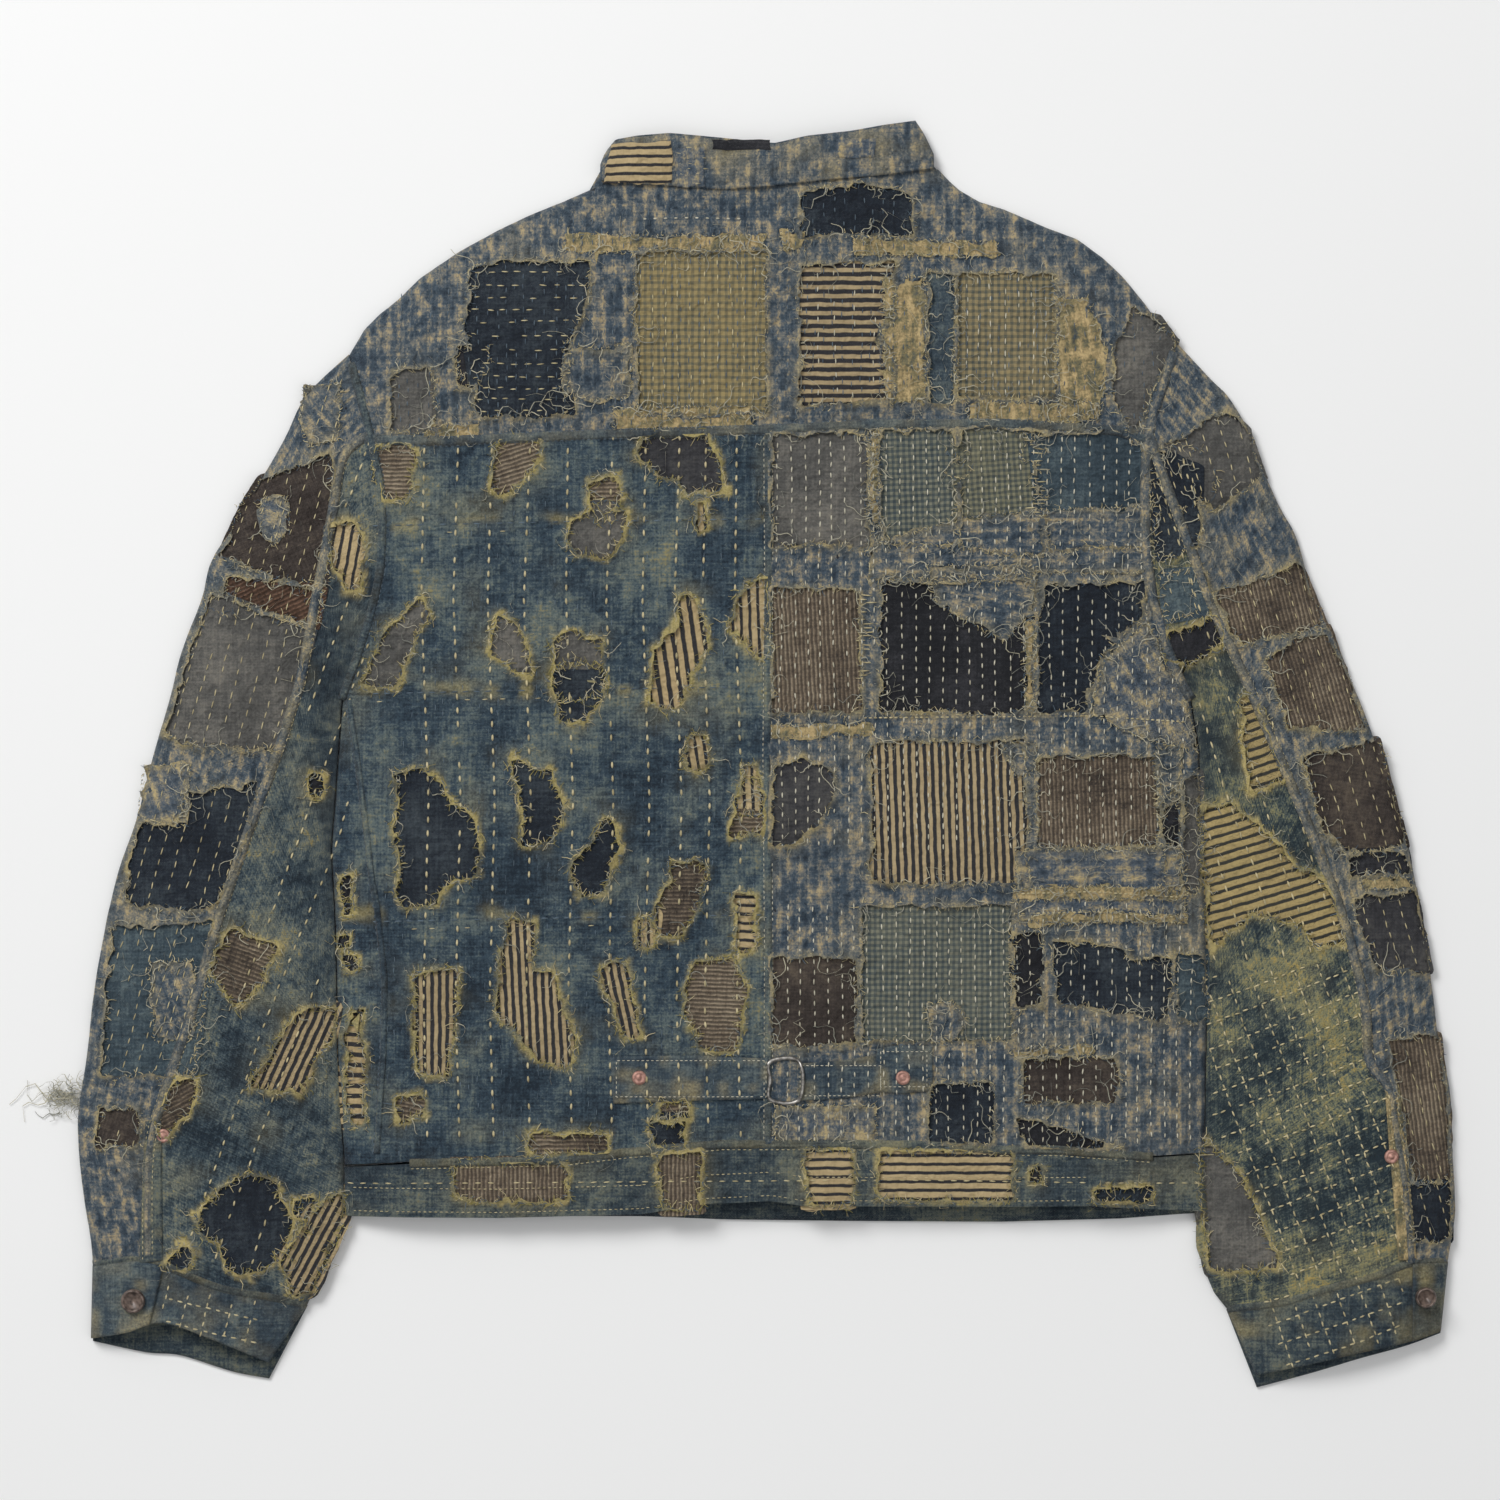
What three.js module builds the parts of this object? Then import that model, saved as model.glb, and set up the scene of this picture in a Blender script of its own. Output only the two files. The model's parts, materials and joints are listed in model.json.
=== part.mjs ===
// Patched boro jacket, laid flat with its back up: each cut piece of cloth is a solid of its own.
// Millimetres. +X to the right of the photo, +Y to the collar, +Z up; the floor is z = 0.
import * as THREE from "three";

// Cloth and seams
const LOWER_CLOTH = 2.2;
const UPPER_CLOTH = 2.4;
const SEAM = 0.3;
const SEAM_WIDE = 0.6;
const FOLD_HEIGHT = 2.6;
const EDGE_HEIGHT = 3.7;
const EDGE_RISE = 1.2;
const LOFT = 10;
const LOFT_REACH = 60;
const SLEEVE_SHIFT = 0.5;
const LOWER_INSET = 0.6;
const PATCH_THICK = 1.0;
const STRAP_THICK = 2.0;

// The front closure, on the hidden side
const PLACKET_HALF = 15;
const PLACKET_LIFT = 1.6;
const UNDERLAP_LIFT = 4.1;

// Hardware
const RIVET_RADIUS = 4.4;
const RIVET_THICK = 1.6;
const CUFF_BUTTON_RADIUS = 7.5;
const FRONT_BUTTON_RADIUS = 8.5;
const BUTTON_THICK = 2.4;
const FRONT_BUTTON_THICK = 1.3;

// Edges of the garment, each a table of x, y points
const SHOULDER_LEFT = [[-260.6, 250], [-251.3, 265.6], [-241.9, 275], [-229.4, 285], [-216.9, 297.5],
  [-191.9, 314.4], [-166.9, 328.1], [-146.9, 337.5], [-126.9, 345.6], [-106.9, 354.4]];
const SHOULDER_RIGHT = [[106.9, 365.6], [118, 354], [132, 345.6], [148, 340.6], [173.8, 329.4],
  [193.8, 322], [210, 310], [222, 298.8], [235.6, 282], [243.8, 270], [255.6, 257]];
const NECK = [[-106.9, 354.4], [-80, 359], [-45, 359], [0, 360], [32, 363], [72, 367], [106.9, 365.6]];
const YOKE_SEAM = [[-252, 197], [-198, 195], [-167, 197], [-104, 199.4], [-42, 201], [2, 202.5],
  [67.5, 206], [145.6, 206], [217.5, 202], [236, 196]];
const WAIST_SEAM = [[-272, -257], [-222.5, -254], [-129, -252], [-91, -247.5], [-27.5, -242],
  [32.5, -242], [92.5, -242.5], [145.6, -245.6], [180.6, -245.6], [240, -250], [280, -248]];
const BACK_HEM = [[-272, -286], [-258.8, -287.5], [-167, -288], [-77.5, -285.6], [-39.4, -279.4],
  [2.5, -277.5], [22.5, -280.6], [145.6, -281], [200.6, -280.6], [280, -285]];
const FRONT_HEM = [[-272, -286], [-258.8, -288], [-77.5, -288], [-27.5, -290], [52.5, -291],
  [145.6, -291.5], [220, -289.5], [260, -286.5], [280, -285.6]];
// Side seam, then armhole, from the waist seam to the yoke seam: x at a height y
const SIDE_LEFT = [[-263.8, -290], [-263.8, -253], [-266, -222], [-268, -184], [-268.8, -122],
  [-270, -90.6], [-272, -59], [-269.4, -28], [-265, 34.4], [-257.5, 53], [-247, 84.4],
  [-240, 115.6], [-238.8, 147], [-241, 172], [-246, 197], [-252.5, 222], [-260.6, 250]];
const SIDE_RIGHT = [[275, -290], [274, -278], [273, -240.6], [273.8, -190.6], [275, -137.5],
  [273.8, -97.5], [271, -57.5], [269.4, 2.5], [264.4, 34.4], [258, 44], [248.8, 65.6],
  [239.4, 97], [235.6, 126], [234.6, 160], [236, 194.4], [240.5, 214], [247.2, 234], [255.6, 257]];
const STRIP_SEAM = [[-243, -290], [-243, -248], [-241, -217], [-239, -187], [-238, -140],
  [-243, -94], [-246, -79], [-251, -36], [-257, 8], [-261, 34.4]];
const SLEEVE_OUTER_LEFT = [[-260.6, 250], [-279.4, 233], [-290, 220.6], [-301.3, 197],
  [-315.6, 172], [-329.4, 147], [-346.3, 122], [-353, 97], [-365, 65.6], [-373, 34.4],
  [-382.5, 2], [-393.8, -41], [-403.8, -69], [-410, -93], [-413.8, -111], [-420, -147],
  [-425, -190.6], [-429.4, -219], [-430, -240], [-427, -272], [-422, -304], [-421, -318]];
const SLEEVE_OUTER_RIGHT = [[255.6, 257], [277.5, 233.8], [287.5, 223.8], [299.4, 204.4],
  [304.4, 190], [319.4, 156], [331, 134], [341, 97], [352, 78], [364.4, 47], [375.6, 19],
  [386, -12.5], [397, -47], [402, -65.6], [409.4, -106], [415.6, -148], [419.4, -180],
  [426, -208], [427.5, -240], [429.4, -275.6], [429, -291], [425, -316]];
const SLEEVE_TAIL_LEFT = [[-264, -284], [-266.5, -292], [-272.5, -307.5], [-282.5, -333], [-287, -343]];
const SLEEVE_TAIL_RIGHT = [[275.2, -286], [268, -292.5], [268, -307.5], [274.4, -324], [279, -335.6],
  [287, -345.6]];
const SLEEVE_SEAM_LEFT = [[-250, 199], [-263.8, 185], [-271, 147], [-280.6, 97], [-290.6, 46],
  [-304.4, 2.5], [-322.5, -47.5], [-340.6, -100], [-357.5, -159], [-374.4, -209], [-384.4, -247],
  [-385.6, -317]];
const SLEEVE_SEAM_RIGHT = [[231, 199], [247.5, 170], [265.6, 122.5], [280, 86], [300, 42],
  [325.6, -17.5], [345.6, -65.6], [355.6, -93], [365.6, -127.5], [372, -157], [375, -190.6],
  [387.5, -208], [391, -230], [397, -267.5], [401.5, -317]];
const CUFF_SEAM_LEFT = [[-421, -318], [-385.6, -317], [-287, -343]];
const CUFF_SEAM_RIGHT = [[425, -316], [401.5, -317], [287, -345.6]];
const CUFF_UPPER_LEFT = [[-422, -364], [-376, -354], [-345, -364], [-311, -377]];
const CUFF_LOWER_LEFT = [[-421, -366], [-388, -373], [-366, -375], [-334, -385], [-311, -389.4]];
const CUFF_UPPER_RIGHT = [[420.6, -359.4], [399, -366], [370, -372], [340, -379], [305, -386]];
const CUFF_LOWER_RIGHT = [[420.6, -361], [399, -369], [370, -377], [340, -386], [306, -395]];
const FALL_EDGE = [[-105, 360], [-100, 357], [-58, 354], [-27.5, 352], [2.5, 354], [32.5, 357.5],
  [72.5, 361], [106, 364]];
const FALL_FOLD = [[-100, 376], [-94.4, 383.8], [-81, 386], [-61, 387.5], [-27.5, 384.4], [4.4, 381],
  [24.4, 385.6], [52.5, 388.8], [72.5, 392.5], [92.5, 395.6], [98, 387.5], [104, 376]];
const COLLAR_POINT = 62;
const COLLAR_POINT_Y = 236;
const COLLAR_MEET_Y = 300;

// Rows of the body, by height at the side, and its columns; patches, straps and seams end on them
const ROWS = [-250, -217, -187, -140, -94, -79, -36, 8, 34.4, 71, 108, 131, 165, 199];
const LEFT_COLUMNS = [-220, -190, -150, -111, -97, -81, -60, -40, -20];
const RIGHT_COLUMNS = [20, 43, 66, 84, 102, 118, 141, 164, 200];

// Main creases of the upper layer: from x, y to x, y, with height and half width
const CREASES = [
  { from: [-205, 150], to: [-120, -90], height: 1.6, width: 17 },
  { from: [-60, 175], to: [-90, -160], height: -1.8, width: 20 },
  { from: [70, 180], to: [95, -180], height: 1.4, width: 22 },
  { from: [180, 120], to: [215, -150], height: -1.6, width: 18 },
  { from: [-230, -60], to: [-60, -110], height: 1.3, width: 14 },
  { from: [40, -40], to: [220, -70], height: 1.2, width: 14 },
  { from: [-170, 290], to: [-60, 240], height: 1.4, width: 16 },
  { from: [60, 250], to: [190, 290], height: 1.3, width: 16 },
  { from: [-352, 60], to: [-285, 20], height: 2.2, width: 12 },
  { from: [-375, -60], to: [-290, -100], height: -1.8, width: 13 },
  { from: [-395, -140], to: [-300, -180], height: 2, width: 14 },
  { from: [-400, -230], to: [-290, -265], height: -1.5, width: 12 },
  { from: [280, 30], to: [350, 60], height: 2.2, width: 12 },
  { from: [290, -90], to: [385, -60], height: -1.8, width: 13 },
  { from: [290, -190], to: [400, -150], height: 2, width: 14 },
  { from: [290, -270], to: [400, -245], height: -1.5, width: 12 },
];

const lerp = (a, b, t) => a + (b - a) * t;
const lerpPoint = (a, b, t) => a.map((value, i) => lerp(value, b[i], t));

// Value of a table's second column at a value of its first
function valueAt(table, x) {
  const up = table[0][0] < table[table.length - 1][0];
  const rows = up ? table : [...table].reverse();
  if (x <= rows[0][0]) return rows[0][1];
  for (let i = 1; i < rows.length; i++) {
    const [x0, y0] = rows[i - 1];
    const [x1, y1] = rows[i];
    if (x <= x1) return lerp(y0, y1, (x - x0) / (x1 - x0));
  }
  return rows[rows.length - 1][1];
}

const flip = (table) => table.map(([x, y]) => [y, x]);
const sideLeft = (y) => valueAt(flip(SIDE_LEFT), y);
const sideRight = (y) => valueAt(flip(SIDE_RIGHT), y);

// Point at a share of a table's length, and the share at each of its points
function sharesOf(table) {
  const lengths = [0];
  for (let i = 1; i < table.length; i++) {
    const [x0, y0] = table[i - 1];
    const [x1, y1] = table[i];
    lengths.push(lengths[i - 1] + Math.hypot(x1 - x0, y1 - y0));
  }
  return lengths.map((length) => length / lengths[lengths.length - 1]);
}

function along(table, t) {
  const shares = sharesOf(table);
  for (let i = 1; i < table.length; i++) {
    if (t > shares[i] && i < table.length - 1) continue;
    return lerpPoint(table[i - 1], table[i], (t - shares[i - 1]) / (shares[i] - shares[i - 1]));
  }
  return table[table.length - 1];
}

function distanceTo(table, x, y) {
  let best = Infinity;
  for (let i = 1; i < table.length; i++) {
    const [x0, y0] = table[i - 1];
    const [x1, y1] = table[i];
    const dx = x1 - x0;
    const dy = y1 - y0;
    const t = Math.min(1, Math.max(0, ((x - x0) * dx + (y - y0) * dy) / (dx * dx + dy * dy)));
    best = Math.min(best, Math.hypot(x - x0 - t * dx, y - y0 - t * dy));
  }
  return best;
}

// Edges where the upper and the lower layer are one seam or fold
const belowArm = (table) => table.filter(([, y]) => y <= 34.4);
const CLOSED = [
  SHOULDER_LEFT,
  SHOULDER_RIGHT,
  [...SLEEVE_OUTER_LEFT, [-422, -364]],
  [...SLEEVE_OUTER_RIGHT, [420.6, -359.4]],
  [...belowArm(SIDE_LEFT).reverse(), ...SLEEVE_TAIL_LEFT, [-311, -389]],
  [...belowArm(SIDE_RIGHT).reverse(), ...SLEEVE_TAIL_RIGHT, [306, -395]],
];

function creaseAt(x, y) {
  let sum = 0;
  for (const { from, to, height, width } of CREASES) {
    const off = distanceTo([from, to], x, y) / width;
    sum += height * Math.exp(-off * off);
  }
  return sum;
}

// Height of the top of the upper layer
function topAt(x, y) {
  const d = Math.min(...CLOSED.map((table) => distanceTo(table, x, y)));
  const rise = Math.min(1, d / LOFT_REACH);
  const loft = LOFT * (1 - (1 - rise) * (1 - rise));
  const nearNeck = y > 300 ? 1 - 0.25 * Math.min(1, (y - 300) / 60) : 1;
  const crease = creaseAt(x, y) * Math.min(1, d / 30);
  return EDGE_HEIGHT + EDGE_RISE * Math.min(1, d / 3) + loft * nearNeck + crease;
}

const group = new THREE.Group();
group.name = "patched_jacket";
const HUES = { cloth: 0x3b5566, patch: 0x6b6a68, metal: 0xc97f6c, button: 0x6e5f58 };

function addSolid(name, points, faces, hue) {
  let volume = 0;
  for (const [a, b, c] of faces) {
    const va = new THREE.Vector3(...points[a]);
    const vb = new THREE.Vector3(...points[b]);
    const vc = new THREE.Vector3(...points[c]);
    volume += va.dot(vb.cross(vc)) / 6;
  }
  const turned = volume < 0 ? faces.map(([a, b, c]) => [a, c, b]) : faces;
  const geometry = new THREE.BufferGeometry();
  geometry.setAttribute("position", new THREE.Float32BufferAttribute(points.flat(), 3));
  geometry.setIndex(turned.flat());
  geometry.computeVertexNormals();
  const mesh = new THREE.Mesh(geometry, new THREE.MeshStandardMaterial({ color: hue, side: 2 }));
  mesh.name = name;
  group.add(mesh);
  return mesh;
}

// A wall of cloth from rows of outer and inner point pairs, closed at its rims
function wall(name, rows, hue = HUES.cloth) {
  const count = rows[0].length;
  const last = rows.length - 1;
  const outer = rows.flatMap((row) => row.map((pair) => pair.outer));
  const inner = rows.flatMap((row) => row.map((pair) => pair.inner));
  const o = (r, c) => r * count + c;
  const i = (r, c) => outer.length + r * count + c;
  const faces = [];
  const quad = (a, b, c, d) => faces.push([a, b, c], [a, c, d]);
  for (let r = 0; r < last; r++) {
    for (let c = 0; c < count - 1; c++) {
      quad(o(r, c), o(r, c + 1), o(r + 1, c + 1), o(r + 1, c));
      faces.push([i(r, c), i(r + 1, c + 1), i(r, c + 1)], [i(r, c), i(r + 1, c), i(r + 1, c + 1)]);
    }
    quad(o(r, 0), o(r + 1, 0), i(r + 1, 0), i(r, 0));
    quad(o(r + 1, count - 1), o(r, count - 1), i(r, count - 1), i(r + 1, count - 1));
  }
  for (let c = 0; c < count - 1; c++) {
    quad(o(0, c + 1), o(0, c), i(0, c), i(0, c + 1));
    quad(o(last, c), o(last, c + 1), i(last, c + 1), i(last, c));
  }
  addSolid(name, [...outer, ...inner], faces, hue);
  return rows;
}

const upper = (x, y, lift = 0) => {
  const z = topAt(x, y) + lift;
  return { outer: [x, y, z], inner: [x, y, Math.max(LOWER_CLOTH + SEAM, z - UPPER_CLOTH)] };
};
const lower = (x, y, lift = 0) => ({ outer: [x, y, lift], inner: [x, y, lift + LOWER_CLOTH] });

// A piece that lies on a wall, made from its points: rows r0 to r1, columns c0 to c1
function layOn(name, rows, [r0, r1, c0, c1], thick, hue, inset = 0.6) {
  const pairs = [];
  for (let r = r0; r <= r1; r++) {
    const row = [];
    for (let c = c0; c <= c1; c++) {
      let point = rows[r][c].outer;
      const towards = (rr, cc) => {
        const other = rows[rr][cc].outer;
        const step = inset / Math.hypot(other[0] - point[0], other[1] - point[1]);
        point = lerpPoint(point, other, Math.min(0.4, step));
      };
      if (c === c0) towards(r, c + 1);
      if (c === c1) towards(r, c - 1);
      const [x, y, z] = point;
      row.push({ outer: [x, y, z + SEAM + thick], inner: [x, y, z + SEAM] });
    }
    pairs.push(row);
  }
  return wall(name, pairs, hue);
}

// Height of a wall's outer surface at x, y
function surfaceAt(rows, x, y) {
  const inside = (a, b, c) => {
    const det = (b[1] - c[1]) * (a[0] - c[0]) + (c[0] - b[0]) * (a[1] - c[1]);
    if (Math.abs(det) < 1e-9) return null;
    const u = ((b[1] - c[1]) * (x - c[0]) + (c[0] - b[0]) * (y - c[1])) / det;
    const v = ((c[1] - a[1]) * (x - c[0]) + (a[0] - c[0]) * (y - c[1])) / det;
    if (u < -1e-6 || v < -1e-6 || u + v > 1 + 1e-6) return null;
    return u * a[2] + v * b[2] + (1 - u - v) * c[2];
  };
  let best = null;
  for (let r = 0; r < rows.length - 1; r++) {
    for (let c = 0; c < rows[r].length - 1; c++) {
      const p = [rows[r][c], rows[r][c + 1], rows[r + 1][c + 1], rows[r + 1][c]].map((q) => q.outer);
      for (const z of [inside(p[0], p[1], p[2]), inside(p[0], p[2], p[3])]) {
        if (z !== null && (best === null || z > best)) best = z;
      }
    }
  }
  if (best === null) throw new Error("no cloth at " + x + ", " + y);
  return best;
}

// A round stud or button that leans with the cloth below it
function stud(name, rows, x, y, radius, thick, hue) {
  const sides = 16;
  const reach = radius * 0.9;
  const slopeX = (surfaceAt(rows, x + reach, y) - surfaceAt(rows, x - reach, y)) / (2 * reach);
  const slopeY = (surfaceAt(rows, x, y + reach) - surfaceAt(rows, x, y - reach)) / (2 * reach);
  const ring = (r) =>
    [...Array(sides).keys()].map((k) => {
      const angle = (2 * Math.PI * k) / sides;
      return [x + r * Math.cos(angle), y + r * Math.sin(angle)];
    });
  let lift = -Infinity;
  const probes = [[x, y], ...ring(radius), ...ring(radius * 0.5)];
  for (const [px, py] of probes) {
    const plane = slopeX * (px - x) + slopeY * (py - y);
    lift = Math.max(lift, surfaceAt(rows, px, py) - plane);
  }
  const at = ([px, py], up) => [px, py, lift + SEAM + up + slopeX * (px - x) + slopeY * (py - y)];
  const bottom = ring(radius).map((p) => at(p, 0));
  const rim = ring(radius).map((p) => at(p, thick * 0.6));
  const top = ring(radius * 0.72).map((p) => at(p, thick));
  const points = [...bottom, ...rim, ...top, at([x, y], 0), at([x, y], thick)];
  const faces = [];
  for (let k = 0; k < sides; k++) {
    const n = (k + 1) % sides;
    faces.push([k, n, sides + n], [k, sides + n, sides + k]);
    faces.push([sides + k, sides + n, 2 * sides + n], [sides + k, 2 * sides + n, 2 * sides + k]);
    faces.push([3 * sides, n, k], [3 * sides + 1, 2 * sides + k, 2 * sides + n]);
  }
  addSolid(name, points, faces, hue);
}

// Body: the upper layer
const waistAt = (x) => valueAt(WAIST_SEAM, x);
const yokeAt = (x) => valueAt(YOKE_SEAM, x);
const sideEdge = (side, y) => (side < 0 ? sideLeft(y) : sideRight(y));
// Heights of the body rows where they meet a side edge
const rowYs = (side) =>
  ROWS.map((y, row) => {
    if (row === 0) return waistAt(sideEdge(side, y)) + SEAM_WIDE;
    if (row === ROWS.length - 1) return yokeAt(sideEdge(side, y)) - SEAM_WIDE / 2;
    return y;
  });
const ROWS_LEFT = rowYs(-1);
const ROWS_RIGHT = rowYs(1);
const bodyY = (x, row) => {
  const rows = x < 0.5 ? ROWS_LEFT : ROWS_RIGHT;
  const edge = sideEdge(x < 0.5 ? -1 : 1, rows[row]);
  const t = (rows[row] - rows[0]) / (rows[rows.length - 1] - rows[0]);
  return rows[row] + lerp(waistAt(x) - waistAt(edge), yokeAt(x) - yokeAt(edge), t);
};
// Heights of the two rows of the armhole above the yoke seam
const CAP_SHARES = [0.32, 0.66];
const capYs = (side) => {
  const rows = side < 0 ? ROWS_LEFT : ROWS_RIGHT;
  const from = rows[rows.length - 1] + SEAM_WIDE;
  const to = side < 0 ? SHOULDER_LEFT[0][1] : SHOULDER_RIGHT[10][1];
  return CAP_SHARES.map((t) => lerp(from, to, t));
};
const edgeRow = (row, edge, inward, columns) => {
  const near = [0, 3, 12].map((d) => edge + inward * d);
  return inward > 0 ? [...near, ...columns] : [...columns, ...near.reverse()];
};
const armRow = ROWS.indexOf(34.4);

const backLeft = wall("back_left", ROWS_LEFT.map((y, row) => {
  const edge = row <= armRow ? valueAt(flip(STRIP_SEAM), y) + SEAM : sideLeft(y);
  const xs = edgeRow(row, edge, 1, [...LEFT_COLUMNS, 0.3]);
  return xs.map((x) => upper(x, bodyY(x, row)));
}));
const backRight = wall("back_right", ROWS_RIGHT.map((y, row) => {
  const xs = edgeRow(row, sideRight(y), -1, [0.7, ...RIGHT_COLUMNS]);
  return xs.map((x) => upper(x, bodyY(x, row)));
}));
wall("side_strip_left", ROWS_LEFT.slice(0, armRow + 1).map((y, row) => {
  const edge = sideLeft(y);
  const seam = valueAt(flip(STRIP_SEAM), y) - SEAM;
  return [edge, lerp(edge, seam, 0.4), seam].map((x) => upper(x, bodyY(x, row)));
}));

// Yoke
const yokeBottom = [...backLeft[ROWS.length - 1], ...backRight[ROWS.length - 1].slice(1)].map(
  (pair) => pair.outer[0]);
const yokeTop = yokeBottom.map((x, i) => {
  const n = yokeBottom.length;
  if (i < 3) return SHOULDER_LEFT[0][0] + [0, 3, 13][i];
  if (i >= n - 3) return SHOULDER_RIGHT[10][0] - [0, 3, 13][n - 1 - i];
  return x;
});
const topLine = [...SHOULDER_LEFT, ...NECK.slice(1, -1), ...SHOULDER_RIGHT];
const YOKE_ROWS = [0, 0.16, 0.32, 0.49, 0.66, 0.83, 1];
const yoke = wall("back_yoke", YOKE_ROWS.map((t) =>
  yokeBottom.map((x, i) => {
    const from = [x, yokeAt(x) + SEAM_WIDE / 2];
    const to = [yokeTop[i], valueAt(topLine, yokeTop[i])];
    let [px, py] = lerpPoint(from, to, t);
    if (i === 0) px = sideLeft(py);
    if (i === yokeBottom.length - 1) px = sideRight(py);
    return upper(px, py);
  })));

// Fronts: the lower layer, flat on the floor, with the overlap at the closing edge
const frontTop = (x) => {
  const side = Math.abs(x);
  if (side >= 112) return valueAt(topLine, x) - 0;
  if (side >= COLLAR_POINT) {
    const t = (112 - side) / (112 - COLLAR_POINT);
    return lerp(valueAt(topLine, 112 * Math.sign(x)), COLLAR_POINT_Y, t);
  }
  return lerp(COLLAR_POINT_Y, COLLAR_MEET_Y, Math.min(1, (COLLAR_POINT - side) / COLLAR_POINT));
};
function front(name, side, sideAt, lap) {
  const columns = [220, 190, 150, 112, COLLAR_POINT, 26].map((x) => x * side);
  const ends = lap === "over"
    ? [[22, 0], [18, PLACKET_LIFT], [-PLACKET_HALF, PLACKET_LIFT]]
    : [[24, 1.4], [18, UNDERLAP_LIFT], [-PLACKET_HALF, UNDERLAP_LIFT]];
  const rows = [...(side < 0 ? ROWS_LEFT : ROWS_RIGHT), ...capYs(side), valueAt(topLine, side * 261)];
  return wall(name, rows.map((rowY) => {
    const edge = sideAt(rowY) - side * LOWER_INSET;
    const xs = [0, 3, 12].map((d) => [edge - side * d, 0]);
    xs.push(...columns.map((x) => [x, 0]), ...ends.map(([x, lift]) => [x * side, lift]));
    return xs.map(([x, lift], c) => {
      const t = (rowY - rows[0]) / (rows[rows.length - 1] - rows[0]);
      const power = c < 3 ? 8 : 1;
      const low = waistAt(x) + SEAM_WIDE - rows[0];
      const high = frontTop(x) - SEAM_WIDE - rows[rows.length - 1];
      const y = rowY + (c === 0 ? 0 : low * Math.pow(1 - t, power) + high * Math.pow(t, power));
      const pair = lower(x, y, lift);
      if (c === 0) pair.outer[2] = 1;
      return pair;
    });
  }));
}
const frontLeft = front("front_left", -1, sideLeft, "over");
const frontRight = front("front_right", 1, sideRight, "under");

// Waistband: one strip from the left front end round the back to the right front end
function bandStations() {
  const stations = [];
  const over = [[PLACKET_HALF, PLACKET_LIFT], [-18, PLACKET_LIFT], [-22, 0], [-26, 0], [-62, 0],
    [-112, 0], [-150, 0], [-190, 0], [-220, 0]];
  const under = [[220, 0], [190, 0], [150, 0], [112, 0], [62, 0], [26, 0], [24, 1.4],
    [18, UNDERLAP_LIFT], [-PLACKET_HALF, UNDERLAP_LIFT]];
  const low = ([x, lift]) => (top, t) => {
    const y = lerp(valueAt(WAIST_SEAM, x), valueAt(FRONT_HEM, x), t);
    return lower(x, y, lift);
  };
  const high = (x) => (top, t) =>
    upper(x, lerp(valueAt(WAIST_SEAM, x), valueAt(BACK_HEM, x), t));
  stations.push(...over.map(low), ...edgeStations(-1), ...LEFT_COLUMNS.map(high), high(0));
  stations.push(...RIGHT_COLUMNS.map(high), ...edgeStations(1).reverse(), ...under.map(low));
  return stations;
}
// Round a side edge, from the lower layer to the upper
function edgeStations(side) {
  const sideAt = side < 0 ? sideLeft : sideRight;
  const at = (d, t, hem) => {
    const rough = lerp(-252, -286, t);
    const x = sideAt(rough) - side * d;
    return [x, lerp(valueAt(WAIST_SEAM, x), valueAt(hem, x), t)];
  };
  return [
    (top, t) => lower(...at(12, t, FRONT_HEM)),
    (top, t) => ({ outer: [...at(3, t, FRONT_HEM), 0], inner: [...at(6, t, FRONT_HEM), LOWER_CLOTH] }),
    (top, t) => ({
      outer: [...at(0, t, BACK_HEM), FOLD_HEIGHT],
      inner: [...at(4.6, t, BACK_HEM), LOWER_CLOTH + 0.15],
    }),
    (top, t) => {
      const [x, y] = at(3, t, BACK_HEM);
      const [ix, iy] = at(6, t, BACK_HEM);
      return { outer: [x, y, topAt(x, y)], inner: [ix, iy, topAt(ix, iy) - UPPER_CLOTH] };
    },
    (top, t) => upper(...at(12, t, BACK_HEM)),
  ];
}
const band = wall("waistband", bandStations().map((station) =>
  [0, 0.5, 1].map((t) => station(null, t))));

// Sleeves: an outer and an under panel, each folded round one edge of the flat sleeve.
// A panel is straight across from edge to edge; its ends follow the armhole and the cuff seam.
function panelBetween(start, end, near, far) {
  const across = (u, v) => lerpPoint(along(near, v), along(far, v), u);
  return (u, v) => {
    const atStart = along(start, u);
    const atEnd = along(end, u);
    const straightStart = across(u, 0);
    const straightEnd = across(u, 1);
    const startShare = Math.pow(1 - v, 40);
    const endShare = Math.pow(v, 40);
    return across(u, v).map((value, i) =>
      value + startShare * (atStart[i] - straightStart[i]) + endShare * (atEnd[i] - straightEnd[i]));
  };
}

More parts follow.
